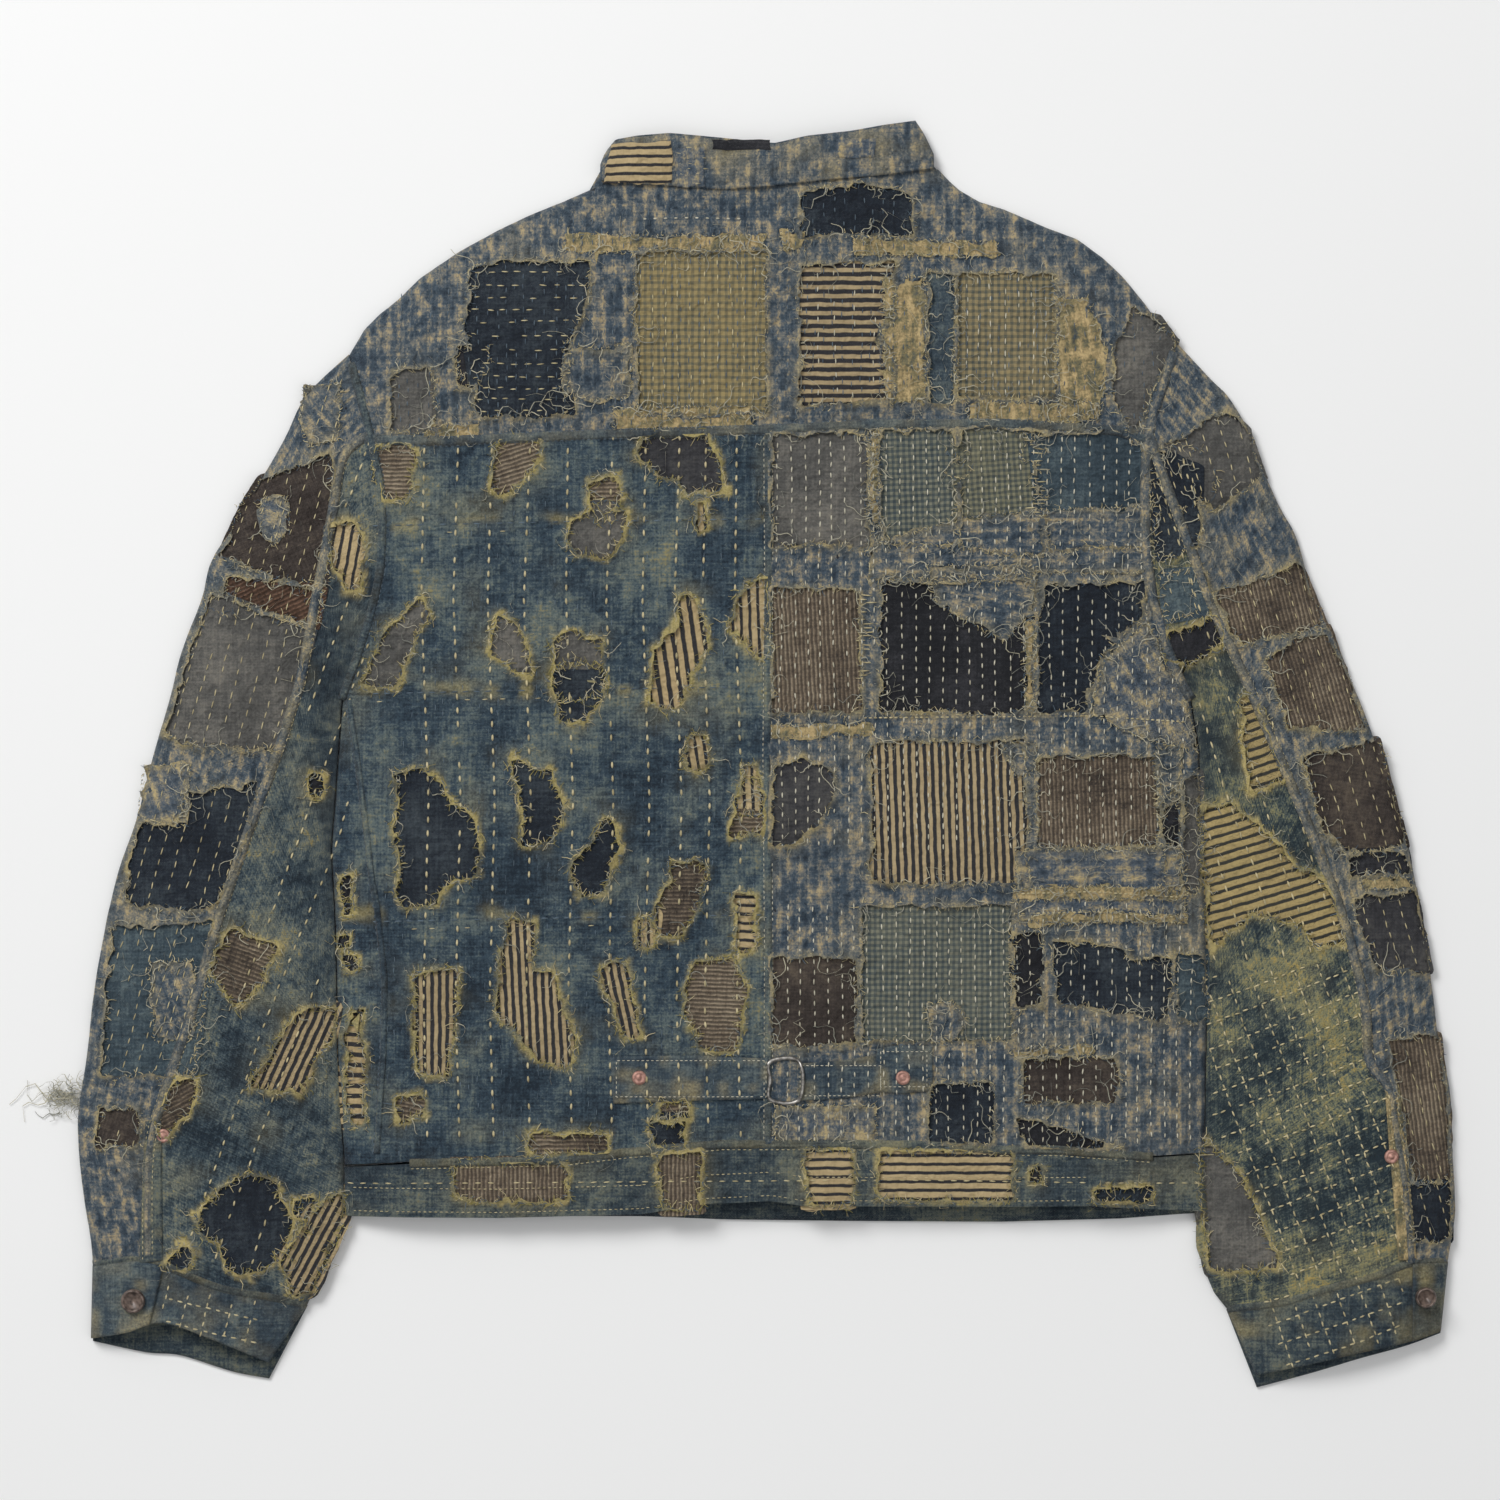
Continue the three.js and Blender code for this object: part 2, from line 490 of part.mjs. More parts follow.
function sleeve(side, tables) {
  const shift = side * SLEEVE_SHIFT;
  const moved = (table, by = 0) => table.map(([x, y]) => [x + shift + by, y]);
  const sideAt = side < 0 ? sideLeft : sideRight;
  const bodyRows = side < 0 ? ROWS_LEFT : ROWS_RIGHT;
  const armYs = [...capYs(side).reverse(), ...bodyRows.slice(armRow).reverse()];
  const arm = [tables.outer[0], ...armYs.map((y) => [sideAt(y), y])];
  const innerYs = bodyRows.slice(0, armRow + 1).reverse();
  const inner = moved([...innerYs.map((y) => [sideAt(y), y]), ...tables.tail]);
  const outer = moved(tables.outer);
  const seamStart = arm[3];
  const seam = moved([seamStart, ...tables.seam.slice(1)]);
  const hiddenStart = arm[6];
  const cuff = moved(tables.cuff);
  const hiddenEnd = along(tables.cuff, 0.5);
  const hidden = moved([hiddenStart,
    lerpPoint(along(tables.outer, 0.4), along(tables.tail, 0), 0.42), hiddenEnd]);
  const armTop = moved(arm.slice(0, 4));
  const armUnder = moved(arm.slice(3));
  const armFront = moved(arm.slice(0, 7));
  const armFrontUnder = moved(arm.slice(6));
  const cut = (table, from, to) => {
    const shares = sharesOf(table).filter((s) => s > from + 1e-6 && s < to - 1e-6);
    return [from, ...shares, to].map((s) => along(table, s));
  };
  const seamShare = sharesOf(tables.cuff)[1];
  const cuffOuter = cut(cuff, 0, seamShare);
  const cuffInner = cut(cuff, seamShare, 1);
  const cuffFront = cut(cuff, 0, 0.5);
  const cuffBack = cut(cuff, 0.5, 1);
  const stations = sharesOf(inner);
  const topOuter = panelBetween(armTop, cuffOuter, outer, seam);
  const topUnder = panelBetween(armUnder, cuffInner, seam, inner);
  const lowOuter = panelBetween(armFront, cuffFront, outer, hidden);
  const lowUnder = panelBetween(armFrontUnder, cuffBack, hidden, inner);
  const widthAt = (patch, v) => {
    const [x0, y0] = patch(0, v);
    const [x1, y1] = patch(1, v);
    return Math.hypot(x1 - x0, y1 - y0);
  };
  const low = ([x, y]) => lower(x, y);
  const high = ([x, y]) => upper(x, y);
  const fold = (patchTop, patchLow, at, v) => {
    const edge = patchTop(at(0, widthAt(patchTop, v)), v);
    const inTop = patchTop(at(6, widthAt(patchTop, v)), v);
    const outTop = patchTop(at(3, widthAt(patchTop, v)), v);
    const inMid = patchTop(at(4.6, widthAt(patchTop, v)), v);
    const outLow = patchLow(at(v === 0 ? 0.8 : 3, widthAt(patchLow, v)), v);
    const inLow = patchLow(at(6, widthAt(patchLow, v)), v);
    return [
      { outer: [...outTop, topAt(...outTop)], inner: [...inTop, topAt(...inTop) - UPPER_CLOTH] },
      { outer: [...edge, FOLD_HEIGHT], inner: [...inMid, LOWER_CLOTH + 0.15] },
      { outer: [...outLow, 0], inner: [...inLow, LOWER_CLOTH] },
    ];
  };
  const outerAt = (d, width) => d / width;
  const innerAt = (d, width) => 1 - d / width;
  const outerRows = stations.map((v) => {
    const wide = widthAt(topOuter, v);
    const wideLow = widthAt(lowOuter, v);
    const gap = SEAM / wide;
    const near = Math.min(0.5, 14 / wide);
    const topShares = [1 - gap, lerp(near, 1, 0.66), lerp(near, 1, 0.33), near];
    const lowShares = [14 / wideLow, 0.4, 0.7, 1 - SEAM / wideLow];
    return [
      ...topShares.map((u) => high(topOuter(u, v))),
      ...fold(topOuter, lowOuter, outerAt, v),
      ...lowShares.map((u) => low(lowOuter(u, v))),
    ];
  });
  const underRows = stations.map((v) => {
    const wide = widthAt(topUnder, v);
    const wideLow = widthAt(lowUnder, v);
    const slit = 12 / wide;
    const near = 1 - 14 / wide;
    const topShares = [SEAM / wide, slit, lerp(slit, near, 0.33), lerp(slit, near, 0.66), near];
    const lowShares = [SEAM / wideLow, 0.45, 1 - 14 / wideLow];
    return [
      ...topShares.map((u) => high(topUnder(u, v))),
      ...fold(topUnder, lowUnder, innerAt, v),
      ...lowShares.reverse().map((u) => low(lowUnder(u, v))),
    ];
  });
  const label = side < 0 ? "left" : "right";
  return {
    outer: wall("sleeve_" + label + "_outer", outerRows),
    under: wall("sleeve_" + label + "_under", underRows),
    rows: stations.length,
  };
}
const sleeveLeft = sleeve(-1, { outer: SLEEVE_OUTER_LEFT, tail: SLEEVE_TAIL_LEFT,
  seam: SLEEVE_SEAM_LEFT, cuff: CUFF_SEAM_LEFT });
const sleeveRight = sleeve(1, { outer: SLEEVE_OUTER_RIGHT, tail: SLEEVE_TAIL_RIGHT,
  seam: SLEEVE_SEAM_RIGHT, cuff: CUFF_SEAM_RIGHT });

// Cuffs: a strip wound once round the wrist, its end lapped over its start
function cuff(side, seam, upperEdge, lowerEdge, tab) {
  const shift = side * SLEEVE_SHIFT;
  const place = (u, t, edge) => {
    const [x0, y0] = along(seam, u);
    const [x1, y1] = along(edge, u);
    return [lerp(x0, x1, t) + shift, lerp(y0 - SEAM_WIDE, y1, t)];
  };
  const wide = Math.hypot(seam[0][0] - seam[seam.length - 1][0], seam[0][1] - seam[seam.length - 1][1]);
  const at = (d) => d / wide;
  const high = (u, lift) => (t) => upper(...place(u, t, upperEdge), lift);
  const low = (u) => (t) => lower(...place(u, t, lowerEdge));
  const turn = (u3, u0, u46, u6) => [
    (t) => {
      const outer = place(u3, t, upperEdge);
      const inner = place(u6, t, upperEdge);
      return { outer: [...outer, topAt(...outer)], inner: [...inner, topAt(...inner) - UPPER_CLOTH] };
    },
    (t) => ({
      outer: [...place(u0, t, upperEdge), FOLD_HEIGHT],
      inner: [...place(u46, t, upperEdge), LOWER_CLOTH + 0.15],
    }),
    (t) => ({
      outer: [...place(u3, t, lowerEdge), 0],
      inner: [...place(u6, t, lowerEdge), LOWER_CLOTH],
    }),
  ];
  const stations = [
    ...tab.under.map((d) => high(at(d), 0)),
    high(0.55, 0), high(0.75, 0), high(1 - at(14), 0),
    ...turn(1 - at(3), 1, 1 - at(4.6), 1 - at(6)),
    low(1 - at(14)), low(0.7), low(0.4), low(at(14)),
    ...turn(at(3), 0, at(4.6), at(6)).reverse(),
    ...tab.over.map(([d, lift]) => high(at(d), lift)),
  ];
  const label = side < 0 ? "left" : "right";
  return wall("cuff_" + label, stations.map((station) => [0, 0.5, 1].map(station)));
}
const cuffLeft = cuff(-1, CUFF_SEAM_LEFT, CUFF_UPPER_LEFT, CUFF_LOWER_LEFT,
  { under: [18, 35.4, 47, 60], over: [[12, 2.7], [18, 2.7], [32, 2.7], [45, 2.7]] });
const cuffRight = cuff(1, CUFF_SEAM_RIGHT, CUFF_UPPER_RIGHT, CUFF_LOWER_RIGHT,
  { under: [12.6, 23.5, 35, 55], over: [[10, 2.2], [14, 2.7], [22, 2.7]] });

// Collar: fall and stand folded over the neck, and the two leaves on the hidden front
const COLLAR_XS = [-104, -98, -90, -70, -40, -10, 20, 45, 70, 92, 98, 103];
wall("collar_back", COLLAR_XS.map((x) => {
  const neck = valueAt(NECK, x) + 1.2;
  const edge = valueAt(FALL_EDGE, x);
  const fold = valueAt(FALL_FOLD, x);
  const seat = topAt(x, neck);
  const under = Math.max(seat, topAt(x, edge)) + 0.8;
  const length = fold - neck;
  return [
    { outer: [x, edge, under + 2.2], inner: [x, edge, under] },
    { outer: [x, neck, under + 2.6], inner: [x, neck, under + 0.1] },
    { outer: [x, lerp(neck, fold, 0.7), under + 2.4], inner: [x, lerp(neck, fold, 0.6), under + 0.1] },
    { outer: [x, fold, seat - 0.1], inner: [x, fold - Math.min(4, length * 0.3), seat + 0.05] },
    { outer: [x, lerp(neck, fold, 0.7), Math.max(2.5, seat - 2.5)],
      inner: [x, lerp(neck, fold, 0.6), seat - 0.1] },
    { outer: [x, neck, Math.max(2.5, seat - 2.4)], inner: [x, neck, seat - 0.1] },
  ];
}));
function collarLeaf(name, side) {
  const rows = [0, 0.25, 0.5, 0.75, 1].map((t) => {
    const free = t < 0.75
      ? lerpPoint([112 * side, valueAt(topLine, 112 * side) - 1], [COLLAR_POINT * side, COLLAR_POINT_Y + 1],
        t / 0.75)
      : lerpPoint([COLLAR_POINT * side, COLLAR_POINT_Y + 1], [2 * side, COLLAR_MEET_Y], (t - 0.75) / 0.25);
    const fold = lerpPoint([100 * side, 372], [1.2 * side, 326], t);
    return [0, 0.5, 1].map((s) => {
      const [x, y] = lerpPoint([free[0] - side * 0.8, free[1] + 0.8], fold, s);
      return lower(x, y);
    });
  });
  wall(name, rows);
}
collarLeaf("collar_leaf_left", -1);
collarLeaf("collar_leaf_right", 1);

// Patches raised on the upper layer, by rows and columns of the panel below
const PATCHES = [
  { name: "patch_yoke_navy", on: yoke, at: [1, 4, 4, 6] },
  { name: "patch_yoke_check", on: yoke, at: [0, 4, 8, 12] },
  { name: "patch_yoke_stripe", on: yoke, at: [0, 4, 13, 16] },
  { name: "patch_yoke_small_check", on: yoke, at: [0, 4, 18, 21] },
  { name: "patch_back_grey", on: backRight, at: [11, 13, 0, 3] },
  { name: "patch_back_check", on: backRight, at: [11, 13, 4, 8] },
  { name: "patch_back_teal", on: backRight, at: [11, 13, 8, 10] },
  { name: "patch_back_brown", on: backRight, at: [8, 10, 0, 3] },
  { name: "patch_back_black", on: backRight, at: [8, 10, 3, 8] },
  { name: "patch_back_navy", on: backRight, at: [8, 10, 8, 10] },
  { name: "patch_back_stripe", on: backRight, at: [5, 7, 3, 8] },
  { name: "patch_back_rib", on: backRight, at: [6, 7, 8, 10] },
  { name: "patch_back_plaid", on: backRight, at: [3, 4, 3, 8] },
  { name: "patch_back_blue", on: backRight, at: [2, 4, 8, 10] },
  { name: "patch_sleeve_left_brown", on: sleeveLeft.outer, at: [1, 2, 0, 3] },
  { name: "patch_sleeve_left_grey", on: sleeveLeft.outer, at: [2, 4, 0, 3] },
  { name: "patch_sleeve_left_teal", on: sleeveLeft.outer, at: [6, 7, 0, 3] },
  { name: "patch_sleeve_right_rib", on: sleeveRight.outer, at: [2, 4, 0, 3] },
  { name: "patch_sleeve_right_grey", on: sleeveRight.outer, at: [6, 7, 0, 3] },
];
for (const { name, on, at } of PATCHES) layOn(name, on, at, PATCH_THICK, HUES.patch);

// Waist cinch: two straps that meet in a keeper, rivets at their ends
const strapLeft = layOn("cinch_strap_left", backLeft, [1, 2, 7, 12], STRAP_THICK, HUES.cloth);
layOn("cinch_keeper", backRight, [1, 2, 0, 1], STRAP_THICK + 1, HUES.metal);
const strapRight = layOn("cinch_strap_right", backRight, [1, 2, 1, 5], STRAP_THICK, HUES.cloth);
stud("cinch_rivet_left", strapLeft, -79.5, -200, RIVET_RADIUS, RIVET_THICK, HUES.metal);
stud("cinch_rivet_right", strapRight, 84.5, -200, RIVET_RADIUS, RIVET_THICK, HUES.metal);

// Cuff slits: placket, rivet and button on each sleeve
const last = sleeveLeft.rows - 1;
const placketLeft = layOn("placket_left", sleeveLeft.under, [last - 4, last, 0, 1], 1.2, HUES.cloth, 0.4);
const lastRight = sleeveRight.rows - 1;
const placketRight = layOn("placket_right", sleeveRight.under, [lastRight - 4, lastRight, 0, 1], 1.2,
  HUES.cloth, 0.4);
const middle = (rows, r) => lerpPoint(rows[r][0].outer, rows[r][1].outer, 0.5);
const between = (rows, r) => lerpPoint(middle(rows, r), middle(rows, r + 1), 0.5);
const [rlx, rly] = between(placketLeft, 0);
const [rrx, rry] = between(placketRight, 0);
stud("placket_rivet_left", placketLeft, rlx, rly, RIVET_RADIUS, RIVET_THICK, HUES.metal);
stud("placket_rivet_right", placketRight, rrx, rry, RIVET_RADIUS, RIVET_THICK, HUES.metal);
stud("cuff_button_left", cuffLeft, -394.4, -339, CUFF_BUTTON_RADIUS, BUTTON_THICK, HUES.button);
stud("cuff_button_right", cuffRight, 410, -337, CUFF_BUTTON_RADIUS - 1, BUTTON_THICK, HUES.button);

// Front buttons, flush with the floor below the raised closing edge
const BUTTON_YS = [-268, -190, -95, 0, 95, 190];
BUTTON_YS.forEach((y, k) => {
  const disc = new THREE.CylinderGeometry(FRONT_BUTTON_RADIUS, FRONT_BUTTON_RADIUS, FRONT_BUTTON_THICK, 16);
  disc.rotateX(Math.PI / 2);
  disc.translate(0, y, FRONT_BUTTON_THICK / 2);
  const mesh = new THREE.Mesh(disc, new THREE.MeshStandardMaterial({ color: HUES.button }));
  mesh.name = "front_button_" + (k + 1);
  group.add(mesh);
});

// Frayed knot of yarn beside the left sleeve, with its loose ends
const KNOT = { edge: -429, y: -213, reach: 10, half: 13 };
const ENDS = [[-472, -222, -218], [-476, -214, -213], [-462, -205, -209], [-455, -230, -224]];
const knot = new THREE.Shape();
knot.moveTo(KNOT.edge, KNOT.y - KNOT.half);
knot.lineTo(KNOT.edge, KNOT.y + KNOT.half);
knot.lineTo(KNOT.edge - KNOT.reach * 0.7, KNOT.y + KNOT.half * 0.8);
for (const [tipX, tipY, rootY] of [...ENDS].sort((a, b) => b[2] - a[2])) {
  const rootX = KNOT.edge - KNOT.reach;
  knot.lineTo(rootX, rootY + 0.8);
  knot.lineTo(lerp(rootX, tipX, 0.5), lerp(rootY, tipY, 0.35) + 0.7);
  knot.lineTo(tipX, tipY + 0.4);
  knot.lineTo(tipX, tipY - 0.4);
  knot.lineTo(lerp(rootX, tipX, 0.5), lerp(rootY, tipY, 0.35) - 0.7);
  knot.lineTo(rootX, rootY - 0.8);
}
knot.lineTo(KNOT.edge - KNOT.reach * 0.7, KNOT.y - KNOT.half * 0.8);
const yarn = new THREE.Mesh(
  new THREE.ExtrudeGeometry(knot, { depth: 1.1, bevelEnabled: false }),
  new THREE.MeshStandardMaterial({ color: HUES.patch }));
yarn.geometry.translate(0, 0, 0.15);
yarn.name = "loose_yarn";
group.add(yarn);

// The origin is the middle of the bounding box, on the floor
const bounds = new THREE.Box3().setFromObject(group);
group.position.set(-(bounds.min.x + bounds.max.x) / 2, -(bounds.min.y + bounds.max.y) / 2, -bounds.min.z);

export default group;
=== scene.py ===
# Patched boro jacket lying flat, back up, seen from straight above.
import json
import math
import bpy
import bmesh
import numpy as np
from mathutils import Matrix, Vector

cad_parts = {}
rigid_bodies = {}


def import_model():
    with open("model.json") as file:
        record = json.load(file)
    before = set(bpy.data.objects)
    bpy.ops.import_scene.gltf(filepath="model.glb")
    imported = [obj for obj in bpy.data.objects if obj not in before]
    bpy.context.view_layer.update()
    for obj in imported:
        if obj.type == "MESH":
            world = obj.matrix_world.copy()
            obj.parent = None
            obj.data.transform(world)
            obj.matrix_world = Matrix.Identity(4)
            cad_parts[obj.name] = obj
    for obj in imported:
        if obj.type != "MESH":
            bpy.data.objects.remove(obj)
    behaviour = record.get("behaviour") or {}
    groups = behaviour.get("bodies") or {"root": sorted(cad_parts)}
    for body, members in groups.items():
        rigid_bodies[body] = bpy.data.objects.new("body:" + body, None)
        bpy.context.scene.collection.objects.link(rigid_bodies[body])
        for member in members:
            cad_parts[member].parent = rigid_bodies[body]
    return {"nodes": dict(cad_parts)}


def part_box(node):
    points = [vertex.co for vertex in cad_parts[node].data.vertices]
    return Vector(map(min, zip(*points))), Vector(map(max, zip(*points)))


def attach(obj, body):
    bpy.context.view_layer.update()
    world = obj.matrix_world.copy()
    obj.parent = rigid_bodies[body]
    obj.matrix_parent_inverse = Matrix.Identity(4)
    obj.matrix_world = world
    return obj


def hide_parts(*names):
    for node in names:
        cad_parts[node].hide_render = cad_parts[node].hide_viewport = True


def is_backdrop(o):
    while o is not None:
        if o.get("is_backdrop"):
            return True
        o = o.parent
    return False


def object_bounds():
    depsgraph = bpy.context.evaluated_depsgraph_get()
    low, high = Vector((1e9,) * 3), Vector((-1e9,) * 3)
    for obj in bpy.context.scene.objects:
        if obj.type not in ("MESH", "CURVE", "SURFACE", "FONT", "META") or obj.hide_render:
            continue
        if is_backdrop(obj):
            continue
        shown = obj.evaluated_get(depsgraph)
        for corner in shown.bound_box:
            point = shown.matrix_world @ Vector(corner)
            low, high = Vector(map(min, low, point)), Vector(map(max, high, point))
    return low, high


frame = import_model()
cadLow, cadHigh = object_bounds()
scene = bpy.context.scene
rng = np.random.default_rng(12)

# photo pixels to millimetres of the pattern, and the pattern's place in the frame
photoScale = 0.625          # mm a pixel, from the 15 mm cuff button
photoMiddle = (767, 755)
shiftX = cadLow.x * 1000 + 476    # the loose yarn's tip lies at x = -476 mm
shiftY = cadLow.y * 1000 + 395    # the right cuff's corner lies at y = -395 mm


def fromPhoto(points):
    p = np.array(points, float)
    return np.stack([(p[..., 0] - photoMiddle[0]) * photoScale, (photoMiddle[1] - p[..., 1]) * photoScale], -1)


def toFrame(p):
    out = np.array(p, float)
    out[..., 0] += shiftX
    out[..., 1] += shiftY
    return out / 1000


# edges of the garment in mm, as the cutter's marks
shoulderLeft = [(-260.6, 250), (-251.3, 265.6), (-241.9, 275), (-229.4, 285), (-216.9, 297.5), (-191.9, 314.4),
                (-166.9, 328.1), (-146.9, 337.5), (-126.9, 345.6), (-106.9, 354.4)]
shoulderRight = [(106.9, 365.6), (118, 354), (132, 345.6), (148, 340.6), (173.8, 329.4), (193.8, 322),
                 (210, 310), (222, 298.8), (235.6, 282), (243.8, 270), (255.6, 257)]
neckLine = [(-106.9, 354.4), (-80, 359), (-45, 359), (0, 360), (32, 363), (72, 367), (106.9, 365.6)]
yokeSeam = [(-252, 197), (-198, 195), (-167, 197), (-104, 199.4), (-42, 201), (2, 202.5), (67.5, 206),
            (145.6, 206), (217.5, 202), (236, 196)]
waistSeam = [(-272, -257), (-222.5, -254), (-129, -252), (-91, -247.5), (-27.5, -242), (32.5, -242),
             (92.5, -242.5), (145.6, -245.6), (180.6, -245.6), (240, -250), (280, -248)]
backHem = [(-272, -286), (-258.8, -287.5), (-167, -288), (-77.5, -285.6), (-39.4, -279.4), (2.5, -277.5),
           (22.5, -280.6), (145.6, -281), (200.6, -280.6), (280, -285)]
frontHem = [(-272, -286), (-258.8, -288), (-77.5, -288), (-27.5, -290), (52.5, -291), (145.6, -291.5),
            (220, -289.5), (260, -286.5), (280, -285.6)]
sideLeft = [(-263.8, -290), (-263.8, -253), (-266, -222), (-268, -184), (-268.8, -122), (-270, -90.6),
            (-272, -59), (-269.4, -28), (-265, 34.4), (-257.5, 53), (-247, 84.4), (-240, 115.6),
            (-238.8, 147), (-241, 172), (-246, 197), (-252.5, 222), (-260.6, 250)]
sideRight = [(275, -290), (274, -278), (273, -240.6), (273.8, -190.6), (275, -137.5), (273.8, -97.5),
             (271, -57.5), (269.4, 2.5), (264.4, 34.4), (258, 44), (248.8, 65.6), (239.4, 97), (235.6, 126),
             (234.6, 160), (236, 194.4), (240.5, 214), (247.2, 234), (255.6, 257)]
stripSeam = [(-243, -290), (-243, -248), (-241, -217), (-239, -187), (-238, -140), (-243, -94), (-246, -79),
             (-251, -36), (-257, 8), (-261, 34.4)]
sleeveOuterLeft = [(-260.6, 250), (-279.4, 233), (-290, 220.6), (-301.3, 197), (-315.6, 172), (-329.4, 147),
                   (-346.3, 122), (-353, 97), (-365, 65.6), (-373, 34.4), (-382.5, 2), (-393.8, -41),
                   (-403.8, -69), (-410, -93), (-413.8, -111), (-420, -147), (-425, -190.6), (-429.4, -219),
                   (-430, -240), (-427, -272), (-422, -304), (-421, -318)]
sleeveOuterRight = [(255.6, 257), (277.5, 233.8), (287.5, 223.8), (299.4, 204.4), (304.4, 190), (319.4, 156),
                    (331, 134), (341, 97), (352, 78), (364.4, 47), (375.6, 19), (386, -12.5), (397, -47),
                    (402, -65.6), (409.4, -106), (415.6, -148), (419.4, -180), (426, -208), (427.5, -240),
                    (429.4, -275.6), (429, -291), (425, -316)]
sleeveTailLeft = [(-264, -284), (-266.5, -292), (-272.5, -307.5), (-282.5, -333), (-287, -343)]
sleeveTailRight = [(275.2, -286), (268, -292.5), (268, -307.5), (274.4, -324), (279, -335.6), (287, -345.6)]
sleeveSeamLeft = [(-246.5, 199), (-263.8, 185), (-271, 147), (-280.6, 97), (-290.6, 46), (-304.4, 2.5),
                  (-322.5, -47.5), (-340.6, -100), (-357.5, -159), (-374.4, -209), (-384.4, -247), (-385.6, -317)]
sleeveSeamRight = [(236.5, 197), (247.5, 170), (265.6, 122.5), (280, 86), (300, 42), (325.6, -17.5),
                   (345.6, -65.6), (355.6, -93), (365.6, -127.5), (372, -157), (375, -190.6), (387.5, -208),
                   (391, -230), (397, -267.5), (401.5, -317)]
cuffSeamLeft = [(-421, -318), (-385.6, -315), (-342.5, -331), (-310.6, -337.5), (-287, -343)]
cuffSeamRight = [(425, -316), (401.5, -316.5), (380, -324), (345.6, -333), (320, -341), (287, -345.6)]
cuffUpperLeft = [(-422, -364), (-400, -360), (-376, -353.5), (-345, -364), (-324, -373), (-311, -379)]
cuffLowerLeft = [(-421, -366), (-388, -373), (-366, -375), (-334, -385), (-311, -389.4)]
cuffUpperRight = [(420.6, -359.4), (399, -366), (370, -372), (340, -379), (305, -387)]
cuffLowerRight = [(420.6, -361), (399, -369), (370, -377), (340, -386), (306, -395)]
fallEdge = [(-105, 360), (-100, 357), (-58, 354), (-27.5, 352), (2.5, 354), (32.5, 357.5), (72.5, 361), (106, 366)]
fallFold = [(-105, 366), (-101, 376), (-94.4, 383.8), (-81, 386), (-61, 387.5), (-27.5, 384.4), (4.4, 381),
            (24.4, 385.6), (52.5, 388.8), (72.5, 392.5), (92.5, 395.6), (98, 387.5), (106, 371)]


def at(table, x):
    t = sorted(table)
    return np.interp(x, [p[0] for p in t], [p[1] for p in t])


def sideAt(table, y):
    return at([(b, a) for a, b in table], y)


def rounded(table, parts=6):
    # a smooth line through the marks
    p = np.array(table, float)
    q = np.vstack([2 * p[0] - p[1], p, 2 * p[-1] - p[-2]])
    out = []
    for i in range(1, len(q) - 2):
        for k in range(parts):
            t = k / parts
            out.append(0.5 * ((2 * q[i]) + (q[i + 1] - q[i - 1]) * t
                       + (2 * q[i - 1] - 5 * q[i] + 4 * q[i + 1] - q[i + 2]) * t * t
                       + (3 * q[i] - q[i - 1] - 3 * q[i + 1] + q[i + 2]) * t ** 3))
    out.append(p[-1])
    return np.array(out)


def lineSteps(line):
    return np.r_[0, np.cumsum(np.hypot(*np.diff(line, axis=0).T))]


def lineLength(line):
    return np.hypot(*np.diff(line, axis=0).T).sum()


def along(line, t):
    line = np.asarray(line, float)
    share = lineSteps(line)
    share = share / share[-1]
    return np.stack([np.interp(t, share, line[:, 0]), np.interp(t, share, line[:, 1])], -1)


def directionAt(line, t, reach=0.004):
    return along(line, np.minimum(t + reach, 1)) - along(line, np.maximum(t - reach, 0))


def pointing(angle):
    return np.stack([np.cos(angle), np.sin(angle)], -1)


def turnedGrain(p, angle):
    # how the cloth's threads run when the piece was cut at an angle
    c, s = math.cos(angle), math.sin(angle)
    return np.stack([p[:, 0] * c + p[:, 1] * s, -p[:, 0] * s + p[:, 1] * c], -1)


def lineDistance(x, y, line):
    best = np.full(x.shape, 1e9)
    line = np.asarray(line, float)
    for a, b in zip(line[:-1], line[1:]):
        d = b - a
        t = np.clip(((x - a[0]) * d[0] + (y - a[1]) * d[1]) / max(d @ d, 1e-9), 0, 1)
        best = np.minimum(best, np.hypot(x - a[0] - t * d[0], y - a[1] - t * d[1]))
    return best


def insideOf(x, y, outline):
    hit = np.zeros(x.shape, bool)
    o = np.asarray(outline, float)
    for a, b in zip(o, np.roll(o, -1, 0)):
        if a[1] == b[1]:
            continue
        cross = (a[1] > y) != (b[1] > y)
        hit ^= cross & (x < (b[0] - a[0]) * (y - a[1]) / (b[1] - a[1]) + a[0])
    return hit


def depthIn(x, y, outline):
    # distance to an outline, positive inside
    o = np.vstack([outline, outline[:1]])
    d = lineDistance(x, y, o)
    return np.where(insideOf(x, y, outline), d, -d)


lattice = np.random.default_rng(5).uniform(-1, 1, (24, 256, 256))


def ripple(x, y, size, seed=0):
    # smooth noise from -1 to 1, with lumps of a size in mm
    gx, gy = np.asarray(x) / size + 100, np.asarray(y) / size + 100
    ix, iy = np.floor(gx).astype(int), np.floor(gy).astype(int)
    fx, fy = gx - ix, gy - iy
    fx, fy = fx * fx * (3 - 2 * fx), fy * fy * (3 - 2 * fy)
    n = lattice[seed % 24]
    a, b = n[ix % 256, iy % 256], n[(ix + 1) % 256, iy % 256]
    c, d = n[ix % 256, (iy + 1) % 256], n[(ix + 1) % 256, (iy + 1) % 256]
    return (a * (1 - fx) + b * fx) * (1 - fy) + (c * (1 - fx) + d * fx) * fy


